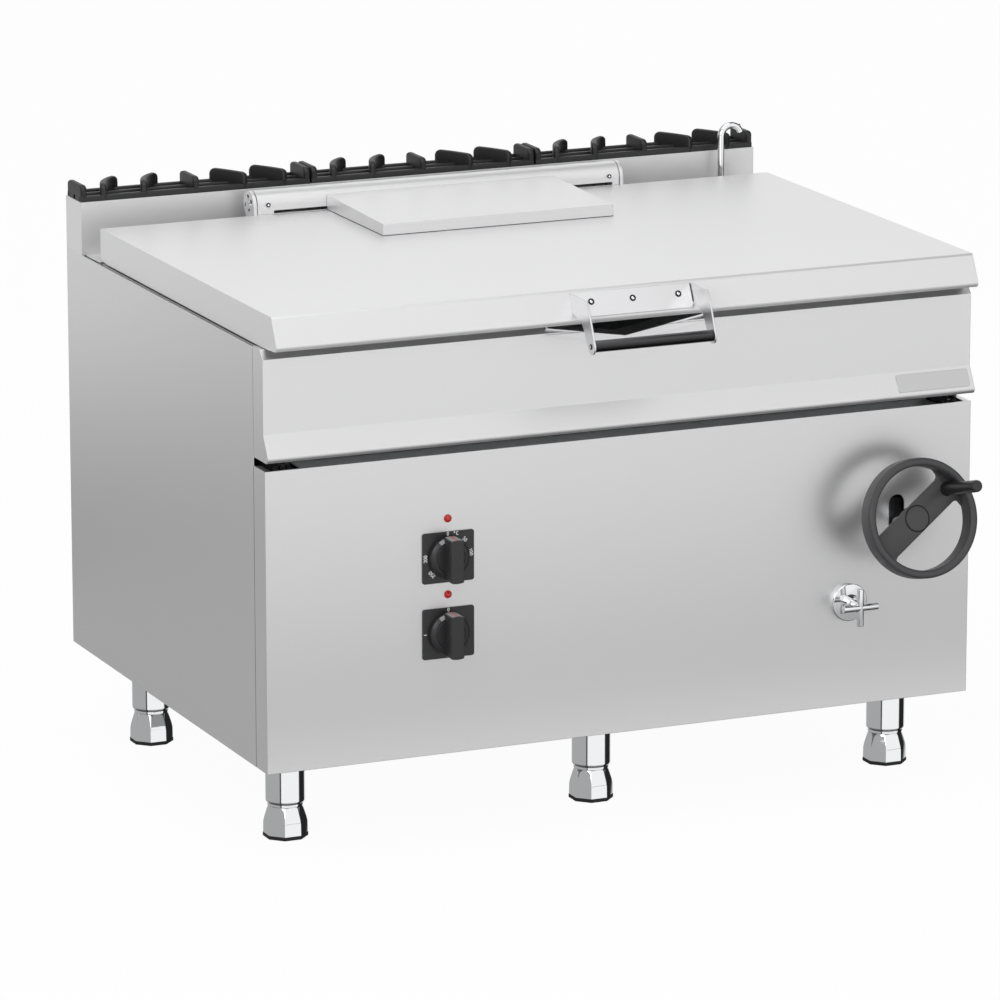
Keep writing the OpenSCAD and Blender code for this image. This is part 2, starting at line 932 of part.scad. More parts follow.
// Fascia: one folded sheet on the pan's front, with a slanted grip lip, and its end caps
module fascia() {
    t = fascia_t;
    y0 = fascia_lip;
    y1 = fascia_face;
    bend = fascia_low + 42;
    lip = fascia_low + hem_r;
    outer = [[y0, lip], [y0, lip + 1], [y1, bend], [y1, fascia_top - 14],
        [y1 + 13, fascia_top], [panel_return - 1, fascia_top]];
    inner = [[panel_return - 1, fascia_top - t], [y1 + 13 + t / 2, fascia_top - t],
        [y1 + t, fascia_top - 14 - t / 2], [y1 + t, bend + t / 2], [y0 + t, lip + 1 - t / 2], [y0 + t, lip]];
    color(steel) place()
        difference() {
            union() {
                along_x(-half_w, half_w) {
                    polygon(concat(outer, inner));
                    curl(y0, lip, hem_r, t);
                }
                both()
                    along_x(inner_x, half_w) {
                        polygon(concat(outer, [[panel_return - 1, fascia_low], [y0 + hem_r, fascia_low],
                            [y0 + hem_r, lip]]));
                        curl(y0, lip, hem_r, hem_r);
                    }
            }
            along_y(-20, panel_return)
                polygon(notch(2.9));
        }
}

// Chute under the notch, with a band turned down in front of the fascia
module pouring_lip() {
    color(steel) place() {
        along_y(fascia_face, pan_front)
            difference() {
                polygon(notch(2.9));
                polygon(concat([[-spout_half + 1, rim_z + 21]], [[-spout_half + 1, rim_z - 4.5]],
                    [[0, rim_z - 4.5 - spout_deep]], [[spout_half - 1, rim_z - 4.5]],
                    [[spout_half - 1, rim_z + 21]]));
                translate([-half_w, rim_z])
                    square([cab_w, 40]);
            }
        along_y(fascia_face - 2, fascia_face)
            intersection() {
                difference() {
                    polygon(notch(12));
                    polygon(notch(0));
                }
                translate([-spout_half - 1, rim_z - 60])
                    square([2 * spout_half + 2, 45]);
            }
    }
}

// Rails along both sides of the pan and the channels that cross under its floor
module pan_underframe() {
    wall = 2;
    last = pan_back - tube - 50;
    channels = [hinge_y + lever_front + 5, hinge_y + lever_back - tube, last - 200, last];
    color(black) place() {
        both()
            difference() {
                span([hinge_x - rail_w / 2, rail_y0, rail_low], [hinge_x + rail_w / 2, rail_y1, floor_low]);
                span([hinge_x - rail_w / 2 + wall, rail_y0 + wall, rail_low + wall],
                    [hinge_x + rail_w / 2 - wall, rail_y1 + 1, floor_low - wall]);
            }
        for (y = channels)
            difference() {
                span([-hinge_x + rail_w / 2, y, rail_low], [hinge_x - rail_w / 2, y + tube, shield_z]);
                span([-hinge_x, y + wall, rail_low + wall], [hinge_x, y + tube - wall, shield_z - wall]);
            }
    }
}

// Arms with the eyes that turn on the hinge pins
module hinge_arms() {
    color(steel) place()
        both()
            difference() {
                union() {
                    bar_x(hinge_x - arm_t / 2, hinge_x + arm_t / 2, hinge_y, hinge_z, 2 * eye_r);
                    along_x(hinge_x - arm_t / 2, hinge_x + arm_t / 2)
                        polygon([[hinge_y, hinge_z - eye_r], [rail_y0, rail_low + 2], [rail_y0, floor_low],
                            [hinge_y, hinge_z + eye_r - 0.5]]);
                }
                bar_x(hinge_x - 20, hinge_x + 20, hinge_y, hinge_z, pin_d + 2 * run);
            }
}

// Heating rods under the floor, bent to hairpins
module heating_elements() {
    d = 9;
    loops = 6;
    y0 = pan_front + 60;
    y1 = pan_back - 60;
    pitch = (pan_w - 100) / loops;
    color("dimgray") place()
        for (i = [0:loops - 1])
            translate([(i - (loops - 1) / 2) * pitch, 0, floor_low - d / 2 - 0.2]) {
                for (s = [-1, 1])
                    translate([s * pitch / 4, y0, 0])
                        rotate([-90, 0, 0])
                            cylinder(d = d, h = y1 - y0);
                translate([0, y1, 0])
                    rotate_extrude(angle = 180)
                        translate([pitch / 4, 0])
                            circle(d = d);
            }
}

// Tray that keeps the heat under the floor
module heat_shield() {
    x = hinge_x - rail_w / 2 - 4;
    y0 = hinge_y + 34;
    y1 = pan_back;
    color(steel) place()
        difference() {
            span([-x, y0, shield_z], [x, y1, floor_low]);
            span([-x + sheet, y0 + sheet, shield_z + sheet], [x - sheet, y1 - sheet, floor_low + 1]);
        }
}

// Lever under the pan; its slot is the path that the lifting roller runs along
module tilt_lever() {
    dir = -(shaft_tilt + tilt_max / 2);
    u = [cos(dir), sin(dir)];
    n = [cos(dir - 90), sin(dir - 90)];
    reach = norm(roller_at(0));
    top = rail_low - hinge_z;
    far = reach * u;
    front_s = (lever_front - lever_edge * n.x) / u.x;
    color(steel) place()
        translate([0, hinge_y, hinge_z]) {
            along_x(jack_x - lever_t / 2, jack_x + lever_t / 2)
                difference() {
                    union() {
                        polygon([[lever_front, top - 6], front_s * u + lever_edge * n, far + lever_edge * n,
                            far - lever_edge * n, [lever_back, top - 24], [lever_back, top - 6]]);
                        translate(far)
                            circle(lever_edge);
                    }
                    for (t = [0:2:tilt_max])
                        translate(roller_at(t))
                            circle(roller_d / 2 + seat);
                }
            span([jack_x - 40, lever_front, top - 6], [jack_x + 40, lever_back, top]);
        }
}

// Hinge housing behind the lid: rolled top, bearing plates inside and feet down to the pan's rim
module hinge_housing() {
    t = 1.5;
    end = housing_half;
    foot_w = 60;
    color(steel) place()
        difference() {
            union() {
                difference() {
                    union() {
                        bar_x(-end, end, roll_y, roll_z, 2 * roll_r);
                        span([-end, roll_y - roll_r, housing_low], [end, roll_y + roll_r, roll_z]);
                    }
                    bar_x(-end - 1, end + 1, roll_y, roll_z, 2 * (roll_r - t));
                    span([-end - 1, roll_y - roll_r + t, housing_low + t],
                        [end + 1, roll_y + roll_r - t, roll_z]);
                }
                for (x = [-end, -4, end - 8]) {
                    bar_x(x, x + 8, roll_y, roll_z, 2 * roll_r - t);
                    span([x, roll_y - roll_r + t / 2, housing_low + t / 2],
                        [x + 8, roll_y + roll_r - t / 2, roll_z]);
                }
                for (x = [-end + 20, -foot_w / 2, end - 20 - foot_w]) {
                    span([x, roll_y - 9, rim_z - rim_t - 12], [x + foot_w, roll_y - 3, housing_low + t / 2]);
                    span([x, pan_back + pan_wall, rim_z - rim_t - 12],
                        [x + foot_w, roll_y - 8, rim_z - rim_t - 6]);
                }
            }
            bar_x(-end - 2, end + 2, roll_y, roll_z, 16 + 2 * run);
            span([-end + 28, roll_y - roll_r - 1, lid_top + 0.5],
                [end - 12, roll_y - roll_r + t, lid_top + 5.5]);
        }
}

// Lid: sloping front flange, top and rear skirt folded from one sheet, with welded side skirts
module lid_shell() {
    t = lid_t;
    fy = lid_front;
    fo = lid_front - flange_out;
    hem = skirt_z + hem_r;
    side_x = lid_w / 2;
    ribs = [-360, 344];
    color(steel) place() {
        along_x(-side_x, side_x) {
            polygon([[fo, hem], [fy, lid_top - 3], [fy + 3, lid_top], [lid_back, lid_top],
                [lid_back, skirt_z], [lid_back - t, skirt_z], [lid_back - t, lid_top - t],
                [fy + 3, lid_top - t], [fo + t, hem]]);
            curl(fo, hem, hem_r, t);
        }
        both()
            along_x(side_x - t, side_x) {
                polygon([[fo, hem], [fy, lid_top - 3], [fy + 3, lid_top], [lid_back, lid_top],
                    [lid_back, skirt_z], [lid_back - 30, skirt_low], [25, skirt_low], [fo + hem_r, skirt_z],
                    [fo + hem_r, hem]]);
                curl(fo, hem, hem_r, hem_r);
            }
        for (x = ribs)
            difference() {
                span([x, 60, lid_top - t - 14], [x + 16, lid_back - 60, lid_top - t]);
                span([x + t, 59, lid_top - t - 14 + t], [x + 16 - t, lid_back - 50, lid_top]);
            }
    }
}

// Folded cover plate on the lid, slightly higher at the hinge housing
module lid_cover_plate() {
    t = 1.5;
    back = roll_y - roll_r - 1.5;
    front = back - cover_deep;
    color(steel) place()
        difference() {
            along_x(-cover_half, cover_half)
                polygon([[front, lid_top], [front, lid_top + 18], [front + 1, lid_top + 19],
                    [back, lid_top + 24.8], [back, lid_top]]);
            along_x(-cover_half + t, cover_half - t)
                polygon([[front + t, lid_top - 1], [front + t, lid_top + 18 - t], [back - t, lid_top + 24.7 - t],
                    [back - t, lid_top - 1]]);
        }
}

// D-shaped plates outside the housing's ends, welded to the lid's rear skirt
module lid_arms() {
    x0 = housing_half + 1.5;
    color(steel) place()
        both()
            difference() {
                union() {
                    bar_x(x0, x0 + 6, roll_y, roll_z, 2 * roll_r);
                    span([x0, lid_back, lid_top - 34], [x0 + 6, roll_y + 12, roll_z]);
                }
                bar_x(x0 - 1, x0 + 7, roll_y, roll_z, 16 + 2 * run);
            }
}

module lid_shaft() {
    color(steel) place()
        bar_x(-housing_half - 9, housing_half + 9, roll_y, roll_z, 16);
}

// Handle bracket: a plate on the flange, bent forward to two cheeks that end at the bar
module lid_handle_bracket() {
    t = 3;
    x = handle_w / 2;
    slope = flange_out / (skirt_h - 11);
    z1 = lid_top - 4.5;
    z0 = lid_top - 33;
    y1 = lid_front - (lid_top - 3 - z1) * slope;
    y0 = lid_front - (lid_top - 3 - z0) * slope;
    r = 13;
    color(steel) place()
        difference() {
            union() {
                along_x(-x - t, x + t)
                    polygon([[y1, z1], [y0, z0], [y0 - 5, z0], [y1 - 5, z1]]);
                both() {
                    along_x(x, x + t)
                        polygon([[y1, z1], [lid_front - 70, z1], [lid_front - 78, lid_top - 28],
                            [handle_y - r, handle_z + 2], [handle_y + r, handle_z - 2],
                            [lid_front - 43, z0 - 6], [y0 - 4, z0], [y0, z0]]);
                    bar_x(x, x + t, handle_y, handle_z, 2 * r);
                }
            }
            bar_x(-x - 10, x + 10, handle_y, handle_z, 6);
        }
}

module lid_handle_bar() {
    x = handle_w / 2;
    color(black) place()
        difference() {
            bar_x(-x + 0.2, x - 0.2, handle_y, handle_z, handle_d);
            both()
                bar_x(x - 20, x + 1, handle_y, handle_z, 5);
        }
}

// Opening of the wheel beside the web: a D with rounded corners
module wheel_opening(r, h, f) {
    cx = sqrt(pow(r - f, 2) - pow(h + f, 2));
    a = atan2(h + f, cx);
    polygon(concat(arc([cx, h + f], f, -90, a, 6), arc([0, 0], r, a, 180 - a, 24),
        arc([-cx, h + f], f, 180 - a, 270, 6)));
}

// Handwheel: deep round rim, one broad web, hub and the boss of the crank grip
module handwheel() {
    r = wheel_d / 2;
    mid = r - rim_w / 2;
    back = rim_front + rim_deep;
    color([0.2, 0.2, 0.21]) place()
        drive(wheel_x)
            rotate([90, 0, 0])
                difference() {
                    union() {
                        translate([0, 0, -(back + rim_front) / 2])
                            rotate_extrude()
                                translate([mid, 0])
                                    round_rect(rim_w, rim_deep, 2.5);
                        translate([0, 0, -back])
                            linear_extrude(back - web_front)
                                difference() {
                                    circle(r - 1.5);
                                    for (a = [0, 180])
                                        rotate(web_angle + a)
                                            wheel_opening(r - rim_w + 1, web_w / 2, 9);
                                }
                        translate([0, 0, -back - 20])
                            cylinder(d = 38, h = 22);
                        translate([0, 0, -web_front])
                            cylinder(d = 42, h = 2);
                        rotate(web_angle)
                            translate([crank_r, 0, -web_front - 1])
                                cylinder(d = 21, h = grip_foot + 1 - seat);
                        rotate(web_angle)
                            translate([crank_r, 0, -web_front])
                                cylinder(d = 10, h = grip_foot + grip_len - 12);
                    }
                    translate([0, 0, -back - 30])
                        cylinder(d = shaft_d + 2 * run, h = back - web_front + 26);
                }
}

module wheel_shaft() {
    color(steel) place()
        drive(wheel_x)
            translate([0, -box_half + 15, 0])
                rotate([90, 0, 0])
                    cylinder(d = shaft_d, h = -web_front + 15 - box_half - 4);
}

// Free-turning grip on the crank boss
module crank_grip() {
    r = grip_d / 2;
    color(black) place()
        drive(wheel_x)
            rotate([90, 0, 0])
                rotate(web_angle)
                    translate([crank_r, 0, -web_front + grip_foot])
                        difference() {
                            rotate_extrude()
                                polygon(concat([[0, 0], [r - 1.5, 0], [r, 2], [r - 0.5, grip_len - 3]],
                                    arc([r - 0.5 - grip_round, grip_len - grip_round], grip_round, 0, 90, 4),
                                    [[0, grip_len]]));
                            translate([0, 0, -1])
                                cylinder(d = 10 + 2 * run, h = grip_len - 9);
                        }
}

front_panel();
left_side_panel();
right_side_panel();
back_panel();
base_tray();
rear_ledge();
upstand();
grate_left();
grate_middle();
grate_right();
side_beams();
cross_beams();
frame_posts();
upper_rails();
hinge_brackets();
hinge_pins();
rest_buffers();
leg_tubes();
jack_stand();
jack_housing();
jack_cover_tube();
control_plates();
control_switches();
indicator_lamps();
tap_rosette();
tap_valve();
water_pipe();
terminal_box();
cable_gland();
pan_vessel();
pan_floor();
fascia();
pouring_lip();
pan_underframe();
hinge_arms();
heating_elements();
heat_shield();
tilt_lever();
hinge_housing();
lid_shell();
lid_cover_plate();
lid_arms();
lid_shaft();
lid_handle_bracket();
lid_handle_bar();
handwheel();
wheel_shaft();
crank_grip();
thermostat_knob();
switch_knob();
tap_handle();
water_spout();
jack_screw();
jack_roller();
foot_front_left();
foot_front_middle();
foot_front_right();
foot_back_left();
foot_back_middle();
foot_back_right();
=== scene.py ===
"""Looks of the tilting bratt pan, built over its CAD frame. Metres, Z up, standing on the floor at z = 0.

The pieces are worked out in cabinet millimetres: x from the middle, y from the front panel's face to the back,
z from the cabinet's lower edge. place() carries them to the frame's metres.
"""

import math
from types import SimpleNamespace

import bpy
import numpy as np
from bpy.props import FloatProperty, FloatVectorProperty, IntProperty, PointerProperty
from mathutils import Matrix, Vector


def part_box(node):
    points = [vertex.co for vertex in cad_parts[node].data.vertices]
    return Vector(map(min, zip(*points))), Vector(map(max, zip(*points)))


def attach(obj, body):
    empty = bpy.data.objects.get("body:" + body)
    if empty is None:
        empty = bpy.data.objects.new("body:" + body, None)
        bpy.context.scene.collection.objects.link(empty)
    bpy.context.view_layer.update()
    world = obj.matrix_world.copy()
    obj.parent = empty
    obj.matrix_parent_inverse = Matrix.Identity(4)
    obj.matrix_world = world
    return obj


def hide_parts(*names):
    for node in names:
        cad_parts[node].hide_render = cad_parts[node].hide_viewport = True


bl_info = {
    "name": "Tilting bratt pan",
    "version": (1, 0, 0),
    "blender": (4, 5, 0),
    "location": "View3D > Sidebar > Bratt pan",
    "description": "Pieces, materials and stage of a tilting bratt pan",
    "category": "Object",
}

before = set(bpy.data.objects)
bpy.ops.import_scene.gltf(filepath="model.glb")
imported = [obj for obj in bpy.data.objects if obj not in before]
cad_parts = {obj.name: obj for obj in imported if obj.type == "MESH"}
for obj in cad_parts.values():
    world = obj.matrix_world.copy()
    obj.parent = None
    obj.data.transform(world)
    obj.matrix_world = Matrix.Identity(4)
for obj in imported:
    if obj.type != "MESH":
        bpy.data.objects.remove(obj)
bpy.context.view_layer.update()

# Where the cabinet millimetres start, in the frame
Y_MID = 0.5 * (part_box("crank_grip")[0].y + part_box("back_panel")[1].y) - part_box("back_panel")[1].y + 0.863
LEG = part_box("leg_tubes")[1].z
ORIGIN = np.array([0.0, -Y_MID, LEG])
TAU = 2 * math.pi


# Sizes and colours
def length(name, description, default, low, high):
    """Length property. The numbers are millimetres, and the property holds metres."""
    return FloatProperty(name=name, description=description, default=default / 1000, min=low / 1000,
                         max=high / 1000, unit="LENGTH", precision=4)


def tone(name, description, default):
    """Colour property, linear."""
    return FloatVectorProperty(name=name, description=description, subtype="COLOR", size=3, default=default)


class BrattSizes(bpy.types.PropertyGroup):
    """Sizes that the pieces share."""

    round_segments: IntProperty(name="Segments", description="Steps round a turned form", default=96, min=24,
                                max=160)
    wheel_r: length("Handwheel radius", "Outer radius of the handwheel's rim", 95.0, 80.0, 100.0)
    rim_w: length("Handwheel rim width", "Radial width of the rim", 13.0, 10.0, 16.0)
    web_w: length("Handwheel web width", "Width of the web across the rim", 45.0, 36.0, 52.0)
    web_fillet: length("Handwheel web fillet", "Radius between the web and the rim", 10.0, 4.0, 14.0)
    grip_d: length("Crank grip diameter", "Largest diameter of the turning grip", 20.0, 16.0, 22.0)
    knob_d: length("Knob skirt diameter", "Diameter of a knob where it meets its plate", 66.0, 56.0, 70.0)
    knob_high: length("Knob height", "Reach of a knob's grip bar out of the panel", 40.0, 32.0, 44.0)
    fin_top: length("Grate fin height", "Height of the fins over the upstand", 27.0, 20.0, 30.0)


class BrattColours(bpy.types.PropertyGroup):
    """Base colours of the finishes."""

    steel: tone("Brushed steel", "Panels, pan and fascia", (0.78, 0.78, 0.785))
    lid_steel: tone("Lid steel", "Lid, cover plate and hinge housing", (0.8, 0.8, 0.805))
    chrome: tone("Chrome", "Feet, tap and spout", (0.86, 0.87, 0.88))
    iron: tone("Black iron", "Cast grates", (0.012, 0.012, 0.013))
    plastic: tone("Black plastic", "Knobs and control plates", (0.022, 0.022, 0.024))
    wheel: tone("Handwheel plastic", "Rim, web and hub of the handwheel", (0.052, 0.052, 0.055))
    paint: tone("Frame paint", "Frame inside the cabinet", (0.03, 0.03, 0.033))
    lamp: tone("Lamp red", "Indicator lamps", (0.5, 0.01, 0.008))
    mark: tone("Marks", "Numbers on the control plates", (0.88, 0.88, 0.88))
    brass: tone("Brass", "Valve and water pipe", (0.6, 0.42, 0.18))
    floor: tone("Floor", "Studio floor", (0.9, 0.9, 0.9))


def sizes():
    """The shared sizes for the pieces: lengths in millimetres, and counts."""
    group = bpy.context.scene.bratt_sizes
    values = {key: getattr(group, key) for key in BrattSizes.__annotations__}
    return SimpleNamespace(**{k: v if isinstance(v, int) else round(1000 * v, 4) for k, v in values.items()})


# Places
def place(points):
    """Cabinet millimetres to the frame's metres, for an array of points."""
    return ORIGIN + np.asarray(points, float) / 1000.0


def axes(origin, x_dir, y_dir, z_dir):
    """Function that carries local millimetres onto three directions from an origin, in cabinet millimetres."""
    m = np.array([x_dir, y_dir, z_dir], float)
    o = np.array(origin, float)
    return lambda p: o + np.asarray(p, float) @ m


def panel_axes(x, z):
    """Frame on the front panel: local x to the right, y up, z out of the panel."""
    return axes((x, 0, z), (1, 0, 0), (0, 0, 1), (0, -1, 0))


TILT = math.radians(15)
WHEEL_AT = (471.0, 80.0, 293.0 - 80.0 * math.tan(TILT))


def wheel_axes():
    """Frame of the handwheel: local x to the right, y up in the wheel's plane, z out along the shaft."""
    c, s = math.cos(TILT), math.sin(TILT)
    return axes(WHEEL_AT, (1, 0, 0), (0, s, c), (0, -c, s))


# Along the wheel's shaft: the web's face, and how far the rim reaches behind it and ahead of it
WEB_FRONT = 80.0 / math.cos(TILT) + 74.0
RIM_BEHIND, RIM_AHEAD = 7.3, 24.7
# The web's angle in degrees, and the crank's throw
WEB_ANGLE, CRANK_R = 36.0, 70.3
# Control column: its x, and the heights of the knobs and the lamps
DIAL_X, KNOB_HEIGHTS, LAMP_HEIGHTS = -300.0, (313.0, 193.0), (373.5, 253.5)
# Tap: x and height. Feet: y of the two rows and x of the three columns
TAP_AT = (387.5, 169.5)
FOOT_ROWS = (("front", 127.0), ("back", 714.0))
FOOT_COLUMNS = (("left", -521.0), ("middle", 0.0), ("right", 521.0))
# Hinge housing's roll: y, height and radius. Handle bar: y and height of its axis
ROLL_Y, ROLL_Z, ROLL_R = 748.0, 730.0, 22.0
HANDLE_Y, HANDLE_Z = -95.0, 643.5
# Half width and depth of the shadow gap under the cover plate, and half sizes of the bare plate
COVER_HALF, COVER_DEEP, PLATE_HALF_W, PLATE_HALF_H = 201.4, 236.9, 63.0, 14.5


# Surfaces
class Skin:
    """Collects parametric surfaces as points and faces, each with a material index."""

    def __init__(self):
        self.points, self.faces, self.slots, self.count = [], [], [], 0

    def add(self, points, faces, slot=0):
        """Takes one surface: its points, and faces that count from its own first point."""
        points = np.asarray(points, float).reshape(-1, 3)
        self.points.append(points)
        self.faces += [tuple(int(i) + self.count for i in f) for f in faces]
        self.slots += [slot] * len(faces)
        self.count += len(points)


def net(points, close_u=False, close_v=False):
    """Quads over a net of points given as [u, v, xyz]; either direction can close on itself."""
    points = np.asarray(points, float)
    nu, nv = points.shape[:2]
    u = np.arange(nu if close_u else nu - 1)
    v = np.arange(nv if close_v else nv - 1)
    a, b = np.meshgrid(u, v, indexing="ij")
    a2, b2 = (a + 1) % nu, (b + 1) % nv
    quads = np.stack([a * nv + b, a2 * nv + b, a2 * nv + b2, a * nv + b2], -1).reshape(-1, 4)
    return points.reshape(-1, 3), quads


def lathe(skin, profile, move, slot=0, segments=96, about=(0.0, 0.0)):
    """Surface of revolution: each profile point (r, z) turns about the local z axis through `about`.

    x = r cos(t), y = r sin(t), z stays; t runs once round.
    """
    prof = np.asarray(profile, float)
    t = np.linspace(0, TAU, segments, endpoint=False)
    ring = np.stack([np.cos(t), np.sin(t)], -1)
    pts = np.zeros((segments, len(prof), 3))
    pts[:, :, :2] = ring[:, None, :] * prof[None, :, :1] + np.array(about)
    pts[:, :, 2] = prof[None, :, 1]
    p, q = net(pts, close_u=True)
    skin.add(move(p), q, slot)


def arc(cx, cy, r, a0, a1, n=8):
    """Points of a circular arc from angle a0 to a1, in degrees."""
    a = np.radians(np.linspace(a0, a1, n + 1))
    return [(cx + r * math.cos(t), cy + r * math.sin(t)) for t in a]


def rounded(corners, radii, n=5):
    """Closed outline with its corners rounded.

    Each corner is cut at r tan((180 - angle) / 2) along both sides and bridged by the tangent arc.
    """
    pts = [np.array(c, float) for c in corners]
    if not hasattr(radii, "__len__"):
        radii = [radii] * len(pts)
    out = []
    for i, (p, r) in enumerate(zip(pts, radii)):
        a, b = pts[i - 1] - p, pts[(i + 1) % len(pts)] - p
        la, lb = np.linalg.norm(a), np.linalg.norm(b)
        a, b = a / la, b / lb
        half = 0.5 * math.acos(float(np.clip(a @ b, -1, 1)))
        if r <= 0 or half > 1.5:
            out.append(tuple(p))
            continue
        cut = min(r / math.tan(half), 0.49 * min(la, lb))
        rr = cut * math.tan(half)
        mid = (a + b) / np.linalg.norm(a + b)
        centre = p + mid * rr / math.sin(half)
        s, e = p + a * cut - centre, p + b * cut - centre
        s0, s1 = math.atan2(s[1], s[0]), math.atan2(e[1], e[0])
        d = (s1 - s0 + math.pi) % TAU - math.pi
        for k in range(n + 1):
            t = s0 + d * k / n
            out.append((centre[0] + rr * math.cos(t), centre[1] + rr * math.sin(t)))
    return np.array(out)


def inset(outline, d):
    """Outline moved inwards by d along the mean of its sides' normals, counter-clockwise outlines only."""
    o = np.asarray(outline, float)
    e = np.roll(o, -1, 0) - o
    e = e / np.maximum(np.linalg.norm(e, axis=1, keepdims=True), 1e-9)
    nrm = np.stack([-e[:, 1], e[:, 0]], -1)
    m = nrm + np.roll(nrm, 1, 0)
    m = m / np.maximum(0.5 * (m * m).sum(1, keepdims=True), 0.3)
    return o + m * d


def slab(skin, outline, low, high, move, slot=0, edge=0.0, steps=3):
    """Outline drawn out along local z from low to high, with both rims rounded by `edge`."""
    o = np.asarray(outline, float)
    area = 0.5 * np.sum(o[:, 0] * np.roll(o[:, 1], -1) - np.roll(o[:, 0], -1) * o[:, 1])
    if area < 0:
        o = o[::-1]
    rings = []
    if edge > 0:
        for k in range(steps + 1):
            t = 0.5 * math.pi * k / steps
            rings.append((edge * (1 - math.sin(t)), low + edge * (1 - math.cos(t))))
        for k in range(steps + 1):
            t = 0.5 * math.pi * k / steps
            rings.append((edge * (1 - math.cos(t)), high - edge * (1 - math.sin(t))))
    else:
        rings = [(0.0, low), (0.0, high)]
    pts = np.zeros((len(rings), len(o), 3))
    for i, (d, z) in enumerate(rings):
        pts[i, :, :2] = inset(o, d) if d else o
        pts[i, :, 2] = z
    p, q = net(pts, close_v=True)
    n = len(o)
    faces = [tuple(f[::-1]) for f in q]
    faces.append(tuple(range(n))[::-1])
    faces.append(tuple((len(rings) - 1) * n + i for i in range(n)))
    skin.add(move(p), faces, slot)


def tube(skin, path, radius, slot=0, segments=32, ends=True):
    """Round tube along a path: at each point a ring stands across the path's direction.

    The ring's first axis is carried along without twist by projecting it on the next ring's plane.
    """
    path = np.asarray(path, float)
    radius = np.broadcast_to(np.asarray(radius, float), (len(path),))
    tang = np.gradient(path, axis=0)
    tang /= np.linalg.norm(tang, axis=1, keepdims=True)
    side = np.cross(tang[0], (0.0, 0.0, 1.0))
    if np.linalg.norm(side) < 1e-3:
        side = np.array([1.0, 0.0, 0.0])
    pts = np.zeros((len(path), segments, 3))
    t = np.linspace(0, TAU, segments, endpoint=False)
    for i in range(len(path)):
        side = side - tang[i] * (side @ tang[i])
        side /= np.linalg.norm(side)
        up = np.cross(tang[i], side)
        pts[i] = path[i] + radius[i] * (np.cos(t)[:, None] * side + np.sin(t)[:, None] * up)
    p, q = net(pts, close_v=True)
    faces = [tuple(f[::-1]) for f in q]
    if ends:
        faces.append(tuple(range(segments))[::-1])
        faces.append(tuple((len(path) - 1) * segments + i for i in range(segments)))
    skin.add(p, faces, slot)


def capsule_ends(a, b, r, edge, n=4):
    """Path points and radii of a bar from a to b whose rims are rounded by edge."""
    a, b = np.array(a, float), np.array(b, float)
    d = (b - a) / np.linalg.norm(b - a)
    t = np.linspace(0, 0.5 * math.pi, n + 1)
    path, rad = [], []
    for k in t:
        path.append(a + d * edge * (1 - math.cos(k)))
        rad.append(r - edge + edge * math.sin(k))
    for k in t[::-1]:
        path.append(b - d * edge * (1 - math.cos(k)))
        rad.append(r - edge + edge * math.sin(k))
    return np.array(path), np.array(rad)


def bar(skin, a, b, r, edge=0.6, slot=0, segments=32):
    """Straight round bar with rounded rims."""
    path, rad = capsule_ends(a, b, r, edge)
    tube(skin, path, rad, slot, segments)


def piece(name, skin, body, finishes, nodes=(), sharp=35.0):
    """Makes the object of a skin, gives it its finishes and sets it on its CAD body."""
    mesh = bpy.data.meshes.new(name)
    pts = place(np.concatenate(skin.points))
    mesh.from_pydata(pts.tolist(), [], skin.faces)
    mesh.validate()
    for f in finishes:
        mesh.materials.append(f)
    if len(mesh.polygons) == len(skin.slots):
        mesh.polygons.foreach_set("material_index", np.array(skin.slots, np.int32))
    mesh.update()
    mesh.set_sharp_from_angle(angle=math.radians(sharp))
    mesh.polygons.foreach_set("use_smooth", np.array([len(f.vertices) <= 4 for f in mesh.polygons]))
    mesh.update()
    ob = bpy.data.objects.new(name, mesh)
    bpy.context.scene.collection.objects.link(ob)
    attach(ob, body)
    if nodes:
        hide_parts(*nodes)


# Shader nodes
def put(tree, value, socket):
    """A link into a socket, or a value where there is nothing to link."""
    if isinstance(value, S):
        value = value.socket
    if isinstance(value, bpy.types.NodeSocket):
        tree.links.new(value, socket)
    else:
        socket.default_value = value


def node(tree, kind, settings=(), sockets=()):
    """New node of a type. Its settings go in first, then the values or links of its sockets, as pairs.

    The setting "stops" is a colour ramp's: pairs of a place from 0 to 1 and a grey.
    """
    new = tree.nodes.new("ShaderNode" + kind)
    for key, value in settings:
        if key == "stops":
            while len(new.color_ramp.elements) < len(value):
                new.color_ramp.elements.new(0.5)
            for stop, (spot, grey) in zip(new.color_ramp.elements, value):
                stop.position, stop.color = spot, (grey, grey, grey, 1)
        else:
            setattr(new, key, value)
    for key, value in sockets:
        put(tree, value, new.inputs[key])
    return new


def find(tree, kind):
    """The tree's own node of a type."""
    return next(n for n in tree.nodes if n.type == kind)


class S:
    """A float socket of a node tree that takes + - * / and a few functions."""

    def __init__(self, tree, socket):
        self.tree, self.socket = tree, socket

    def math(self, kind, *values):
        """A Math node over values, each a number or a float socket."""
        return S(self.tree, node(self.tree, "Math", [("operation", kind)], enumerate(values)).outputs[0])

    def __add__(self, o):
        return self.math("ADD", self, o)

    __radd__ = __add__

    def __sub__(self, o):
        return self.math("SUBTRACT", self, o)

    def __rsub__(self, o):
        return self.math("SUBTRACT", o, self)

    def __mul__(self, o):
        return self.math("MULTIPLY", self, o)

    __rmul__ = __mul__

    def __truediv__(self, o):
        return self.math("DIVIDE", self, o)

    def clip(self):
        """The value held between 0 and 1."""
        return S(self.tree, node(self.tree, "Clamp", (), [(0, self)]).outputs[0])


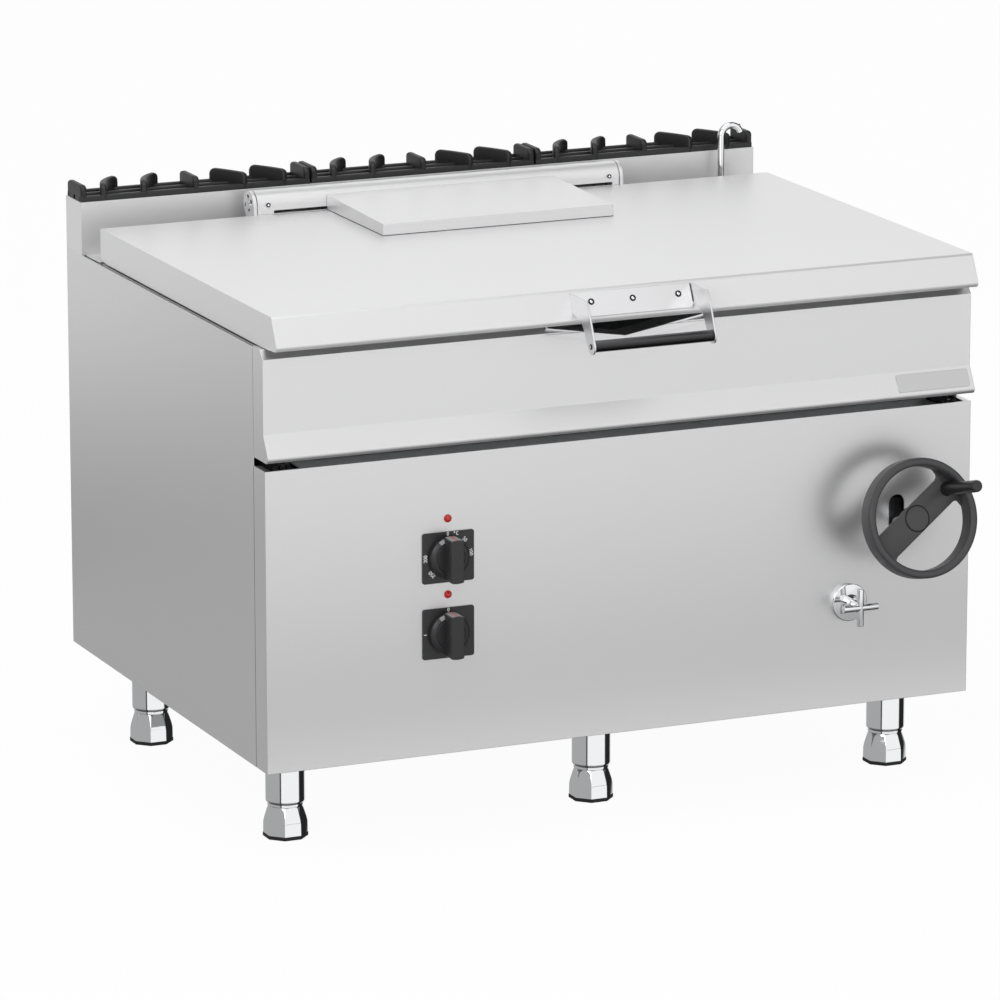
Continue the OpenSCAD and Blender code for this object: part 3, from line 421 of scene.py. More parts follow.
class Finish:
    """Node tree of one Principled finish on Object coordinates."""

    def __init__(self, name, colour, metallic=0.0, roughness=0.5, **uniform):
        self.material = bpy.data.materials.new(name)
        self.material.use_nodes = True
        self.material.diffuse_color = (*colour, 1.0)
        self.tree = self.material.node_tree
        self.shader = find(self.tree, "BSDF_PRINCIPLED")
        self.shader.inputs["Base Color"].default_value = (*colour, 1.0)
        self.shader.inputs["Metallic"].default_value = metallic
        self.shader.inputs["Roughness"].default_value = roughness
        for key, value in uniform.items():
            self.shader.inputs[key.replace("_", " ")].default_value = value
        self.coords = None

    def point(self, scale=(1, 1, 1)):
        """Object coordinates, scaled on each axis."""
        if self.coords is None:
            self.coords = node(self.tree, "TexCoord").outputs["Object"]
        return node(self.tree, "Mapping", (), [("Scale", scale), ("Vector", self.coords)]).outputs["Vector"]

    def axis(self, i):
        """One Object coordinate as a float socket."""
        return S(self.tree, node(self.tree, "SeparateXYZ", (), [(0, self.point())]).outputs[i])

    def noise(self, scale, stretch=(1, 1, 1), detail=4.0, rough=0.5):
        """Noise value between 0 and 1 over stretched Object coordinates."""
        sockets = [("Scale", scale), ("Detail", detail), ("Roughness", rough), ("Vector", self.point(stretch))]
        return S(self.tree, node(self.tree, "TexNoise", (), sockets).outputs[0])

    def mix(self, factor, a, b):
        """Colour between a and b by a float socket."""
        sockets = [(0, factor), (6, (*a, 1.0)), (7, (*b, 1.0))]
        return node(self.tree, "Mix", [("data_type", "RGBA")], sockets).outputs[2]

    def feed(self, key, value):
        """Links a value into an input of the shader."""
        put(self.tree, value, self.shader.inputs[key])

    def bump(self, height, strength, distance=0.0002, normal=None):
        """Bump from a height socket, over an optional normal."""
        sockets = [("Strength", strength), ("Distance", distance), ("Height", height)]
        if normal is not None:
            sockets.append(("Normal", normal))
        self.feed("Normal", node(self.tree, "Bump", (), sockets).outputs[0])

    def soft_edges(self, radius):
        """Normal rounded near edges, as a sheet's bend is."""
        return node(self.tree, "Bevel", [("samples", 6)], [("Radius", radius)]).outputs[0]


FINISHES = {}
# Handle bar: its lowest point and its diameter, in metres, over which its finish paints shade below and a highlight on
# top
BAR_LOW, BAR_HIGH = 0.7745, 0.018


def brushed(name, colour, roughness, direction, radius=0.0012, metallic=1.0):
    """Brushed sheet: noise stretched along one axis moves roughness and a faint bump."""
    f = Finish(name, colour, metallic=metallic, roughness=roughness)
    stretch = [90.0, 90.0, 90.0]
    stretch[direction] = 1.2
    grain = f.noise(12.0, stretch, 3.0, 0.6)
    cloud = f.noise(1.6, (1, 1, 1), 2.0, 0.5)
    f.feed("Roughness", (grain - 0.5) * 0.10 + (cloud - 0.5) * 0.05 + roughness)
    f.bump(grain, 0.06, 0.0001, f.soft_edges(radius))
    return f.material


def make_finishes(c):
    """All finishes by name."""
    F = FINISHES
    F["steel"] = brushed("brushed_steel", tuple(c.steel), 0.36, 0, 0.0012, 0.9)
    F["side_steel"] = brushed("brushed_steel_side", tuple(c.steel), 0.38, 1, 0.0012, 0.9)
    F["rear_steel"] = brushed("brushed_steel_rear", tuple(c.steel), 0.4, 0, 0.0012, 0.65)
    F["lid"] = brushed("brushed_lid", tuple(c.lid_steel), 0.4, 0, 0.0012, 0.65)
    # Handle bar: base colour painted from shade at the bottom to a highlight at the top, as light from above falls on
    # it
    f = Finish("dark_bar", (0.03, 0.03, 0.032), metallic=0.9, roughness=0.3)
    up = ((f.axis(2) - BAR_LOW) / BAR_HIGH).clip()
    f.feed("Base Color", f.mix(up * up, (0.002, 0.002, 0.002), (0.14, 0.14, 0.145)))
    F["bar"] = f.material
    # Near-black painted shadow for narrow gaps: the side seams and the cover plate's edges
    F["seam"] = Finish("seam_shadow", (0.05, 0.05, 0.05), roughness=0.8).material
    F["bright"] = brushed("bright_steel", (0.8, 0.8, 0.81), 0.34, 0, 0.0006)
    F["chrome"] = Finish("chrome", tuple(c.chrome), metallic=1.0, roughness=0.06).material
    F["satin_chrome"] = Finish("satin_chrome", tuple(c.chrome), metallic=1.0, roughness=0.2).material
    f = Finish("black_iron", tuple(c.iron), roughness=0.45)
    f.bump(f.noise(420.0, (1, 1, 1), 3.0), 0.35, 0.0003)
    F["iron"] = f.material
    f = Finish("black_plastic", tuple(c.plastic), roughness=0.32)
    f.feed("Roughness", f.noise(60.0) * 0.12 + 0.27)
    F["plastic"] = f.material
    f = Finish("wheel_plastic", tuple(c.wheel), roughness=0.36)
    f.feed("Roughness", f.noise(80.0) * 0.12 + 0.31)
    F["wheel"] = f.material
    F["grip"] = Finish("grip_plastic", (0.012, 0.012, 0.013), roughness=0.34).material
    f = Finish("frame_paint", tuple(c.paint), roughness=0.42)
    f.bump(f.noise(300.0), 0.12, 0.0002)
    F["paint"] = f.material
    F["lamp"] = Finish("lamp_red", tuple(c.lamp), roughness=0.2, Coat_Weight=0.35).material
    # Grey painted highlight on the knobs' upward bevel and bar ends, in place of the top light's glint on black
    # plastic
    F["bevel"] = Finish("knob_bevel", (0.3, 0.3, 0.3), metallic=0.3, roughness=0.4).material
    F["mark"] = Finish("mark_white", tuple(c.mark), roughness=0.6).material
    F["red"] = Finish("index_red", (0.5, 0.03, 0.02), roughness=0.4).material
    # Near-black painted shade: dark sheets put where shade falls, in the hub's groove, on the crank's boss, beside the
    # handle bracket's ears and round screw heads
    F["dark"] = Finish("dark_gap", (0.006, 0.006, 0.006), roughness=0.8).material
    F["brass"] = Finish("brass", tuple(c.brass), metallic=1.0, roughness=0.3).material
    F["rubber"] = Finish("rubber", (0.012, 0.012, 0.012), roughness=0.7).material
    F["badge"] = brushed("badge_steel", (0.6, 0.6, 0.605), 0.3, 0, 0.0005)
    f = Finish("galvanised", (0.5, 0.52, 0.53), metallic=1.0, roughness=0.45)
    f.feed("Roughness", f.noise(30.0, (1, 1, 1), 2.0) * 0.2 + 0.36)
    F["zinc"] = f.material


NODE_FINISH = {
    "front_panel": "steel", "left_side_panel": "side_steel", "right_side_panel": "side_steel",
    "back_panel": "steel", "base_tray": "zinc", "rear_ledge": "rear_steel", "upstand": "rear_steel",
    "grate_left": "iron", "grate_middle": "iron", "grate_right": "iron", "side_beams": "paint",
    "cross_beams": "paint", "frame_posts": "paint", "upper_rails": "paint", "hinge_brackets": "paint",
    "hinge_pins": "satin_chrome", "rest_buffers": "rubber", "leg_tubes": "chrome", "jack_stand": "paint",
    "jack_housing": "zinc", "jack_cover_tube": "paint", "control_plates": "plastic",
    "control_switches": "plastic", "indicator_lamps": "lamp", "tap_rosette": "chrome", "tap_valve": "brass",
    "water_pipe": "brass", "terminal_box": "zinc", "cable_gland": "plastic", "pan_vessel": "steel",
    "pan_floor": "zinc", "fascia": "steel", "pouring_lip": "bright", "pan_underframe": "paint",
    "hinge_arms": "satin_chrome", "heating_elements": "satin_chrome", "heat_shield": "zinc",
    "tilt_lever": "zinc", "hinge_housing": "lid", "lid_shell": "lid", "lid_cover_plate": "lid",
    "lid_arms": "lid", "lid_shaft": "satin_chrome", "lid_handle_bracket": "bright",
    "lid_handle_bar": "plastic", "handwheel": "wheel", "wheel_shaft": "satin_chrome",
    "crank_grip": "wheel", "thermostat_knob": "plastic", "switch_knob": "plastic", "tap_handle": "chrome",
    "water_spout": "chrome", "jack_screw": "satin_chrome", "jack_roller": "satin_chrome",
}


# Operators
class BRATT_OT_finishes(bpy.types.Operator):
    """Makes the finishes and gives each CAD node its own"""

    bl_idname = "bratt.finishes"
    bl_label = "Finishes"

    def execute(self, context):
        make_finishes(context.scene.bratt_colours)
        for name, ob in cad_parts.items():
            key = NODE_FINISH.get(name, "chrome")
            ob.data.materials.clear()
            ob.data.materials.append(FINISHES[key])
        return {"FINISHED"}


WEB_STEPS, WEB_RING = 97, 9
WEB_FACES = net(np.zeros((WEB_STEPS, WEB_RING, 3)), close_v=True)[1].tolist()
WEB_FACES += [list(range(WEB_RING)), [WEB_STEPS * WEB_RING - 1 - i for i in range(WEB_RING)]]


def web(half, inner, fillet, back, front, turn):
    """Web across a rim: at each x a flat section of half height h(x) with broken edges.

    h is constant, then a quarter of the fillet's circle that meets the rim's inside, then the circle itself.
    """
    cx = math.sqrt((inner - fillet) ** 2 - (half + fillet) ** 2)
    meet = cx * inner / (inner - fillet)
    bend = np.linspace(0, math.asin(min(1.0, (meet - cx) / fillet)), 16)
    x = np.concatenate([np.linspace(0, cx, 24)[:-1], cx + fillet * np.sin(bend),
                        np.linspace(meet + 0.2, inner + 2.6, 10)])
    h = np.where(x <= cx, half, half + fillet - np.sqrt(np.maximum(fillet ** 2 - (x - cx) ** 2, 0)))
    h = np.where(x > meet, np.sqrt(np.maximum((inner + 3.0) ** 2 - x ** 2, 0)), h)
    x, h = np.concatenate([-x[:0:-1], x]), np.concatenate([h[:0:-1], h])
    ring = ((-1, 0, back), (-1, 0, front - 2.2), (-1, 0.6, front - 0.8), (-1, 2.0, front), (0, 0, front),
            (1, 2.0, front), (1, 0.6, front - 0.8), (1, 0, front - 2.2), (1, 0, back))
    pts = np.zeros((len(x), len(ring), 3))
    for k, (side, less, z) in enumerate(ring):
        pts[:, k, 0], pts[:, k, 1], pts[:, k, 2] = x, side * (h - less), z
    pts[:, :, :2] = pts[:, :, :2] @ turn
    return pts


class BRATT_OT_handwheel(bpy.types.Operator):
    """Handwheel: turned rim, one web with filleted ends, hub disc with a groove drawn as a flat ring of painted shade,
    and the crank's boss in painted shade
    """

    bl_idname = "bratt.handwheel"
    bl_label = "Handwheel"

    def execute(self, context):
        s = sizes()
        move, skin = wheel_axes(), Skin()
        r, w = s.wheel_r, s.rim_w
        back, front = WEB_FRONT - RIM_BEHIND, WEB_FRONT + RIM_AHEAD
        section = rounded([(r - w, back), (r, back), (r, front), (r - w, front)], [2.5, 3.5, 5.5, 5.5], 6)
        lathe(skin, np.vstack([section, section[:1]]), move, 0, 2 * s.round_segments)
        a = math.radians(WEB_ANGLE)
        turn = np.array([[math.cos(a), math.sin(a)], [-math.sin(a), math.cos(a)]])
        skin.add(move(web(s.web_w / 2, r - w, s.web_fillet, back, WEB_FRONT, turn)), WEB_FACES, 0)
        lathe(skin, [(0, WEB_FRONT + 0.9), (19.0, WEB_FRONT + 0.9), (19.4, WEB_FRONT + 0.5),
                     (19.4, WEB_FRONT - 0.5)][::-1], move, 0, s.round_segments)
        # The groove round the hub disc is a flat near-black ring: painted shade, not a cut
        lathe(skin, [(18.9, WEB_FRONT + 0.12), (21.5, WEB_FRONT + 0.12)][::-1], move, 2, s.round_segments)
        lathe(skin, [(17.0, back + 0.5), (18.8, back - 2), (18.8, back - 18), (17.5, back - 20), (10.2, back - 20),
                     (10.2, back + 0.5)][::-1], move, 0, s.round_segments)
        crank = (CRANK_R * math.cos(a), CRANK_R * math.sin(a))
        # The crank's boss takes the near-black finish: painted shade for its side wall in shadow
        lathe(skin, [(0, WEB_FRONT + 9.7), (8.6, WEB_FRONT + 9.7), (9.4, WEB_FRONT + 9.0), (10.2, WEB_FRONT + 2.2),
                     (11.6, WEB_FRONT - 0.4)][::-1], move, 2, 48, crank)
        lathe(skin, [(5.0, WEB_FRONT), (5.0, WEB_FRONT + 94), (0, WEB_FRONT + 94)], move, 1, 32, crank)
        piece("handwheel_look", skin, "handwheel", [FINISHES["wheel"], FINISHES["satin_chrome"], FINISHES["dark"]],
              ["handwheel"])
        grip, g = Skin(), s.grip_d / 2
        z0, z1 = WEB_FRONT + 10, WEB_FRONT + 106
        lathe(grip, [(5.4, z0), (g - 1.6, z0), (g - 0.7, z0 + 0.5), (g - 0.1, z0 + 2), (g, z0 + 12), (g - 0.4, z1 - 6)]
              + arc(g - 3.0, z1 - 2.6, 2.5, 0, 90, 6) + [(7.5, z1 - 0.1), (7.2, z1 - 0.6)], move, 0, 64, crank)
        lathe(grip, [(7.2, z1 - 0.6), (7.0, z1 - 0.2), (4.0, z1), (0, z1)], move, 1, 64, crank)
        piece("crank_grip_look", grip, "crank_grip", [FINISHES["grip"], FINISHES["plastic"]],
              ["crank_grip"])
        return {"FINISHED"}


def fin(skin, x, y, z, reach, height, front, rear):
    """Fin that stands along a bent line: its heading turns evenly from the front angle to the rear one.

    The line is the integral of (-sin h, cos h) over its length, and a rounded section stands across it.
    """
    n = 33
    u = np.linspace(-reach, reach, n)
    h = np.radians(np.linspace(front, rear, n))
    step = np.diff(u, prepend=u[0])
    line = np.stack([np.cumsum(-np.sin(h) * step), np.cumsum(np.cos(h) * step)], -1)
    line -= (line[0] + line[-1]) / 2
    line[:, 1] *= 2 * reach / (line[-1, 1] - line[0, 1])
    end = np.clip((np.abs(u) - (reach - 9.0)) / 9.0, 0, 1)
    top = height - 9.0 + 9.0 * np.sqrt(1 - (end * 0.97) ** 2)
    wide = 5.0 - 1.6 * np.clip((np.abs(u) - (reach - 2.4)) / 2.4, 0, 1) ** 2
    ring = [(-1, 0, 0), (-1, 1, -2.4), (-0.9, 1, -1.2), (-0.6, 1, -0.3), (-0.25, 1, 0),
            (0.25, 1, 0), (0.6, 1, -0.3), (0.9, 1, -1.2), (1, 1, -2.4), (1, 0, 0)]
    pts = np.zeros((n, len(ring), 3))
    for k, (side, up, drop) in enumerate(ring):
        pts[:, k, 0] = x + line[:, 0] + np.cos(h) * wide * side
        pts[:, k, 1] = y + line[:, 1] + np.sin(h) * wide * side
        pts[:, k, 2] = z + (top + drop) * up
    p, q = net(pts, close_v=True)
    k = len(ring)
    skin.add(p, [tuple(f[::-1]) for f in q] + [tuple(range(k))[::-1], tuple((n - 1) * k + i for i in range(k))], 0)


class BRATT_OT_grates(bpy.types.Operator):
    """Grates: three cast bars along each grate and seven fins with rounded crowns, two pairs fanned"""

    bl_idname = "bratt.grates"
    bl_label = "Grates"

    def execute(self, context):
        s = sizes()
        top, pitch, y_mid, deep = 746.0, 400.0, 828.0, 66.0
        half = pitch / 2 - 1.5
        for i, name in enumerate(("left", "middle", "right")):
            skin, x0 = Skin(), (i - 1) * pitch
            for y in (-deep / 2 + 5, 0, deep / 2 - 5):
                section = rounded([(y - 5, 0), (y + 5, 0), (y + 4.4, 9), (y - 4.4, 9)], [0, 0, 2.2, 2.2], 4)
                move = axes((x0, y_mid, top), (0, 1, 0), (0, 0, 1), (1, 0, 0))
                slab(skin, section, -half, half, move, 0, 1.2)
            fins = [(-half + 5, 0, 0), (-half * 0.69, -18, -76), (-half * 0.34, -18, -76), (0, 0, 0),
                    (half * 0.34, 26, 44), (half * 0.69, 26, 44), (half - 5, 0, 0)]
            for x, front, rear in fins:
                fin(skin, x0 + x, y_mid, top, deep / 2 - 0.5, s.fin_top, front, rear)
            piece("grate_look_" + name, skin, "cabinet", [FINISHES["iron"]], ["grate_" + name], 50)
        return {"FINISHED"}


def ellipse(cx, cy, rx, ry, a0=0, a1=360, n=20):
    """Points of an elliptic arc."""
    return [(cx + rx * math.cos(math.radians(t)), cy + ry * math.sin(math.radians(t)))
            for t in np.linspace(a0, a1, n)]


GLYPHS = {
    "0": [ellipse(0.3, 0.5, 0.26, 0.5)],
    "1": [[(0.12, 0.78), (0.36, 1), (0.36, 0)]],
    "2": [[(0.05, 0.76)] + ellipse(0.3, 0.72, 0.25, 0.28, 160, -20, 9) + [(0.05, 0), (0.58, 0)]],
    "3": [[(0.07, 0.84)] + ellipse(0.29, 0.76, 0.24, 0.24, 150, -90, 10),
          ellipse(0.29, 0.27, 0.28, 0.27, 90, -160, 12)],
    "5": [[(0.52, 1), (0.12, 1), (0.08, 0.56)] + ellipse(0.28, 0.3, 0.28, 0.3, 120, -150, 12)],
    "C": [ellipse(0.34, 0.5, 0.3, 0.5, 50, 310, 16)],
    "I": [[(0.3, 0), (0.3, 1)]],
    "o": [ellipse(0.2, 0.85, 0.13, 0.15, n=12)],
}


def write_marks(skin, text, centre, turn, height, move, z=2.12, width=0.2):
    """Strokes of a word as flat ribbons, centred on a point and turned by an angle in degrees.

    Each stroke's points move half a stroke's width along the mean normal of the two sides that meet there.
    """
    a = math.radians(turn)
    rot = np.array([[math.cos(a), math.sin(a)], [-math.sin(a), math.cos(a)]])
    for k, ch in enumerate(text):
        for line in GLYPHS[ch]:
            p = np.array(line, float) + (k * 0.8 - 0.4 * len(text) + 0.1, -0.5)
            d = np.gradient(p, axis=0)
            d /= np.maximum(np.linalg.norm(d, axis=1, keepdims=True), 1e-9)
            nrm = np.stack([-d[:, 1], d[:, 0]], -1) * width / 2
            both = np.stack([p + nrm, p - nrm], 1) * height @ rot + np.array(centre)
            pts = np.concatenate([both, np.full(both.shape[:2] + (1,), z)], -1)
            q, f = net(pts)
            skin.add(move(q), f, 0)


def knob_skin(move, s):
    """Knob: turned skirt with a wide bevel, and a grip bar across it whose upper end carries the red index and a
    painted highlight.
    """
    skin, r = Skin(), s.knob_d / 2
    z0, high = 2.3, s.knob_high
    wall = [(4.2, z0), (r, z0), (r, z0 + 7.2), (r - 0.5, z0 + 7.9)]
    bevel = [(r - 0.5, z0 + 7.9), (r - 2.4, z0 + 9.3), (r - 5.8, z0 + 11.0)]
    face = [(r - 5.8, z0 + 11.0), (r - 9.0, z0 + 11.2), (r - 9.6, z0 + 10.6), (r - 10.2, z0 + 11.2), (0, z0 + 11.2)]
    lathe(skin, wall, move, 0, s.round_segments)
    lathe(skin, face, move, 0, s.round_segments)
    # The bevel's upper arc, 62 to 126 degrees, takes the grey finish: a painted highlight where top light glints on
    # the black plastic
    for first, last, slot in ((62, 126, 2), (126, 422, 0)):
        t = np.radians(np.linspace(first, last, 48))
        pts = np.array([[(q * math.cos(k), q * math.sin(k), z) for q, z in bevel] for k in t])
        p, q = net(pts)
        skin.add(move(p), q, slot)
    w, long = 10.6, r + 1.4
    ends = [(x, math.sqrt(long * long - x * x)) for x in np.linspace(w, -w, 9)]
    ends += [(-x, -yy) for x, yy in ends]
    o = rounded(ends, [1.6 if k in (0, 8, 9, 17) else 0 for k in range(18)], 4)
    rings = ((z0 + 7.2, 0), (high - 1.4, 0.0), (high - 0.4, 0.4), (high, 1.4))
    pts = np.zeros((len(rings), len(o), 3))
    for k, (z, d) in enumerate(rings):
        pts[k, :, :2] = inset(o, d) if d else o
        pts[k, :, 2] = z
    p, q = net(pts, close_v=True)
    n = len(o)
    skin.add(move(p), [tuple(f[::-1]) for f in q] + [tuple((len(rings) - 1) * n + i for i in range(n))], 0)
    # On the bar's upper end: a wide grey strip, the painted highlight of the top-lit end face, and the narrow red
    # index line on it
    for half, lift, slot in ((w - 1.8, 0.06, 2), (1.3, 0.14, 1)):
        x = np.linspace(-half, half, 9)
        edge = np.sqrt((long + lift) ** 2 - x ** 2)
        pts = np.stack([np.stack([x, edge, np.full(9, z)], -1) for z in (z0 + 7.4, high - 1.6)])
        p, q = net(pts)
        skin.add(move(p), q, slot)
    return skin


class BRATT_OT_controls(bpy.types.Operator):
    """Knobs, lamps, plate marks"""

    bl_idname = "bratt.controls"
    bl_label = "Controls"

    def execute(self, context):
        s = sizes()
        dials = [panel_axes(DIAL_X, z) for z in KNOB_HEIGHTS]
        for name, move in zip(("thermostat_knob", "switch_knob"), dials):
            skin = knob_skin(move, s)
            piece(name + "_look", skin, name, [FINISHES["plastic"], FINISHES["red"], FINISHES["bevel"]], [name],
                  30)
        marks = Skin()
        for text, angle in (("0", 91), ("50", 44), ("100", 7), ("250", 224), ("300", 180)):
            a = math.radians(angle)
            write_marks(marks, text, (38.2 * math.cos(a), 36.8 * math.sin(a)), angle - 90, 5.2, dials[0])
        write_marks(marks, "oC", (13.0, 36.4), 0, 5.4, dials[0])
        write_marks(marks, "0", (0, 36.6), 0, 5.2, dials[1])
        write_marks(marks, "I", (-38.5, 0), 90, 5.2, dials[1])
        piece("dial_marks", marks, "cabinet", [FINISHES["mark"]], ())
        lamps = Skin()
        for z in LAMP_HEIGHTS:
            move = panel_axes(DIAL_X, z)
            lathe(lamps, [(6.4, 0.0), (6.4, 0.8), (6.0, 1.2)] + arc(0, 1.2, 5.2, 0, 90, 10), move, 0, 48)
            lathe(lamps, [(0, -30), (5.0, -30), (5.0, -1)], move, 0, 24)
        piece("lamps_look", lamps, "cabinet", [FINISHES["lamp"]], ["indicator_lamps"])
        return {"FINISHED"}


class BRATT_OT_tap(bpy.types.Operator):
    """Water tap: rosette, neck and the cross handle"""

    bl_idname = "bratt.tap"
    bl_label = "Tap"

    def execute(self, context):
        move = panel_axes(*TAP_AT)
        skin = Skin()
        crown = [(28.4 + 2.1 * math.cos(t), 5.4 + 2.1 * math.sin(t)) for t in np.linspace(0, math.pi / 2, 8)]
        lathe(skin, [(30.5, 0.0)] + crown + [(13.5, 8.6), (12.3, 9.6), (12.0, 11.0), (12.0, 24.0), (7.2, 24.0)],
              move, 0, 96)
        piece("tap_rosette_look", skin, "cabinet", [FINISHES["chrome"]], ["tap_rosette"])
        skin = Skin()
        lathe(skin, [(4.2, 24.4), (9.0, 24.4), (9.5, 25.0), (9.5, 41.6), (8.4, 42.8), (0, 43.0)], move, 0, 64)
        for a in (0.0, 0.5 * math.pi):
            d = np.array([math.cos(a), math.sin(a), 0.0])
            path, rad = capsule_ends(d * -30 + (0, 0, 43), d * 30 + (0, 0, 43), 5.75, 0.7)
            tube(skin, move(path), rad, 0, 40)
        piece("tap_handle_look", skin, "tap_handle", [FINISHES["chrome"]], ["tap_handle"])
        return {"FINISHED"}


class BRATT_OT_spout(bpy.types.Operator):
    """Water spout: pipe bent over in one arc, open at its tip"""

    bl_idname = "bratt.spout"
    bl_label = "Spout"

    def execute(self, context):
        x, y, r, z = 529.0, 771.0, 18.0, 773.0
        path = [(x, y, q) for q in np.linspace(662.5, z, 6)]
        for t in np.linspace(0, math.radians(160), 28)[1:]:
            path.append((x + r - r * math.cos(t), y, z + r * math.sin(t)))
        skin = Skin()
        tube(skin, path, 6.0, 0, 40, ends=False)
        end, before = np.array(path[-1]), np.array(path[-2])
        d = (end - before) / np.linalg.norm(end - before)
        tube(skin, [end, end - d * 0.4, end - d * 12], [6.0, 5.0, 5.0], 0, 40, ends=False)
        piece("water_spout_look", skin, "water_spout", [FINISHES["chrome"]], ["water_spout"])
        return {"FINISHED"}


class BRATT_OT_feet(bpy.types.Operator):
    """Feet: eight-sided flared bases on rubber pads, and their stems"""

    bl_idname = "bratt.feet"
    bl_label = "Feet"

    def execute(self, context):
        for row, y in FOOT_ROWS:
            for col, x in FOOT_COLUMNS:
                skin = Skin()
                name = "foot_%s_%s" % (row, col)
                t = np.radians(np.arange(8) * 45 + 22.5)
                octo = np.stack([np.cos(t), np.sin(t)], -1)

                def ring(radius, corner):
                    return rounded(octo * radius, corner, 4)

                levels = [(35.0, 6.0, 2), (34.6, 24.0, 2), (33.2, 31.0, 3), (30.6, 40.0, 5), (29.2, 46.0, 9),
                          (28.6, 49.0, 14), (28.2, 51.0, 24)]
                pts = np.array([np.column_stack([ring(r, c), np.full(40, z)]) for r, z, c in levels])
                move = axes((x, y, -140), (1, 0, 0), (0, 1, 0), (0, 0, 1))
                p, q = net(pts, close_v=True)
                n = pts.shape[1]
                skin.add(move(p), [tuple(f[::-1]) for f in q] + [tuple(range(n))[::-1]], 0)
                slab(skin, ring(35.5, 1.5), 0, 6, move, 1, 0.6)
                lathe(skin, [(28.2, 51), (28.6, 53.5), (28.2, 55.4), (27.0, 55.9), (16, 56.0), (16, 116), (0, 116)],
                      move, 0, 64)
                piece(name + "_look", skin, name, [FINISHES["chrome"], FINISHES["rubber"]], [name], 25)
        return {"FINISHED"}


def screw(skin, move, r):
    """Round screw head: a rim and socket in near black, painted shade, around a bright crown."""
    lathe(skin, [(r * 0.5, 1.0), (r * 0.9, 0.9), (r, 0.4), (r, -0.4)][::-1], move, 1, 32)
    lathe(skin, [(0, 1.9), (r * 0.3, 1.8), (r * 0.5, 1.2), (r * 0.5, 0.8)][::-1], move, 0, 32)


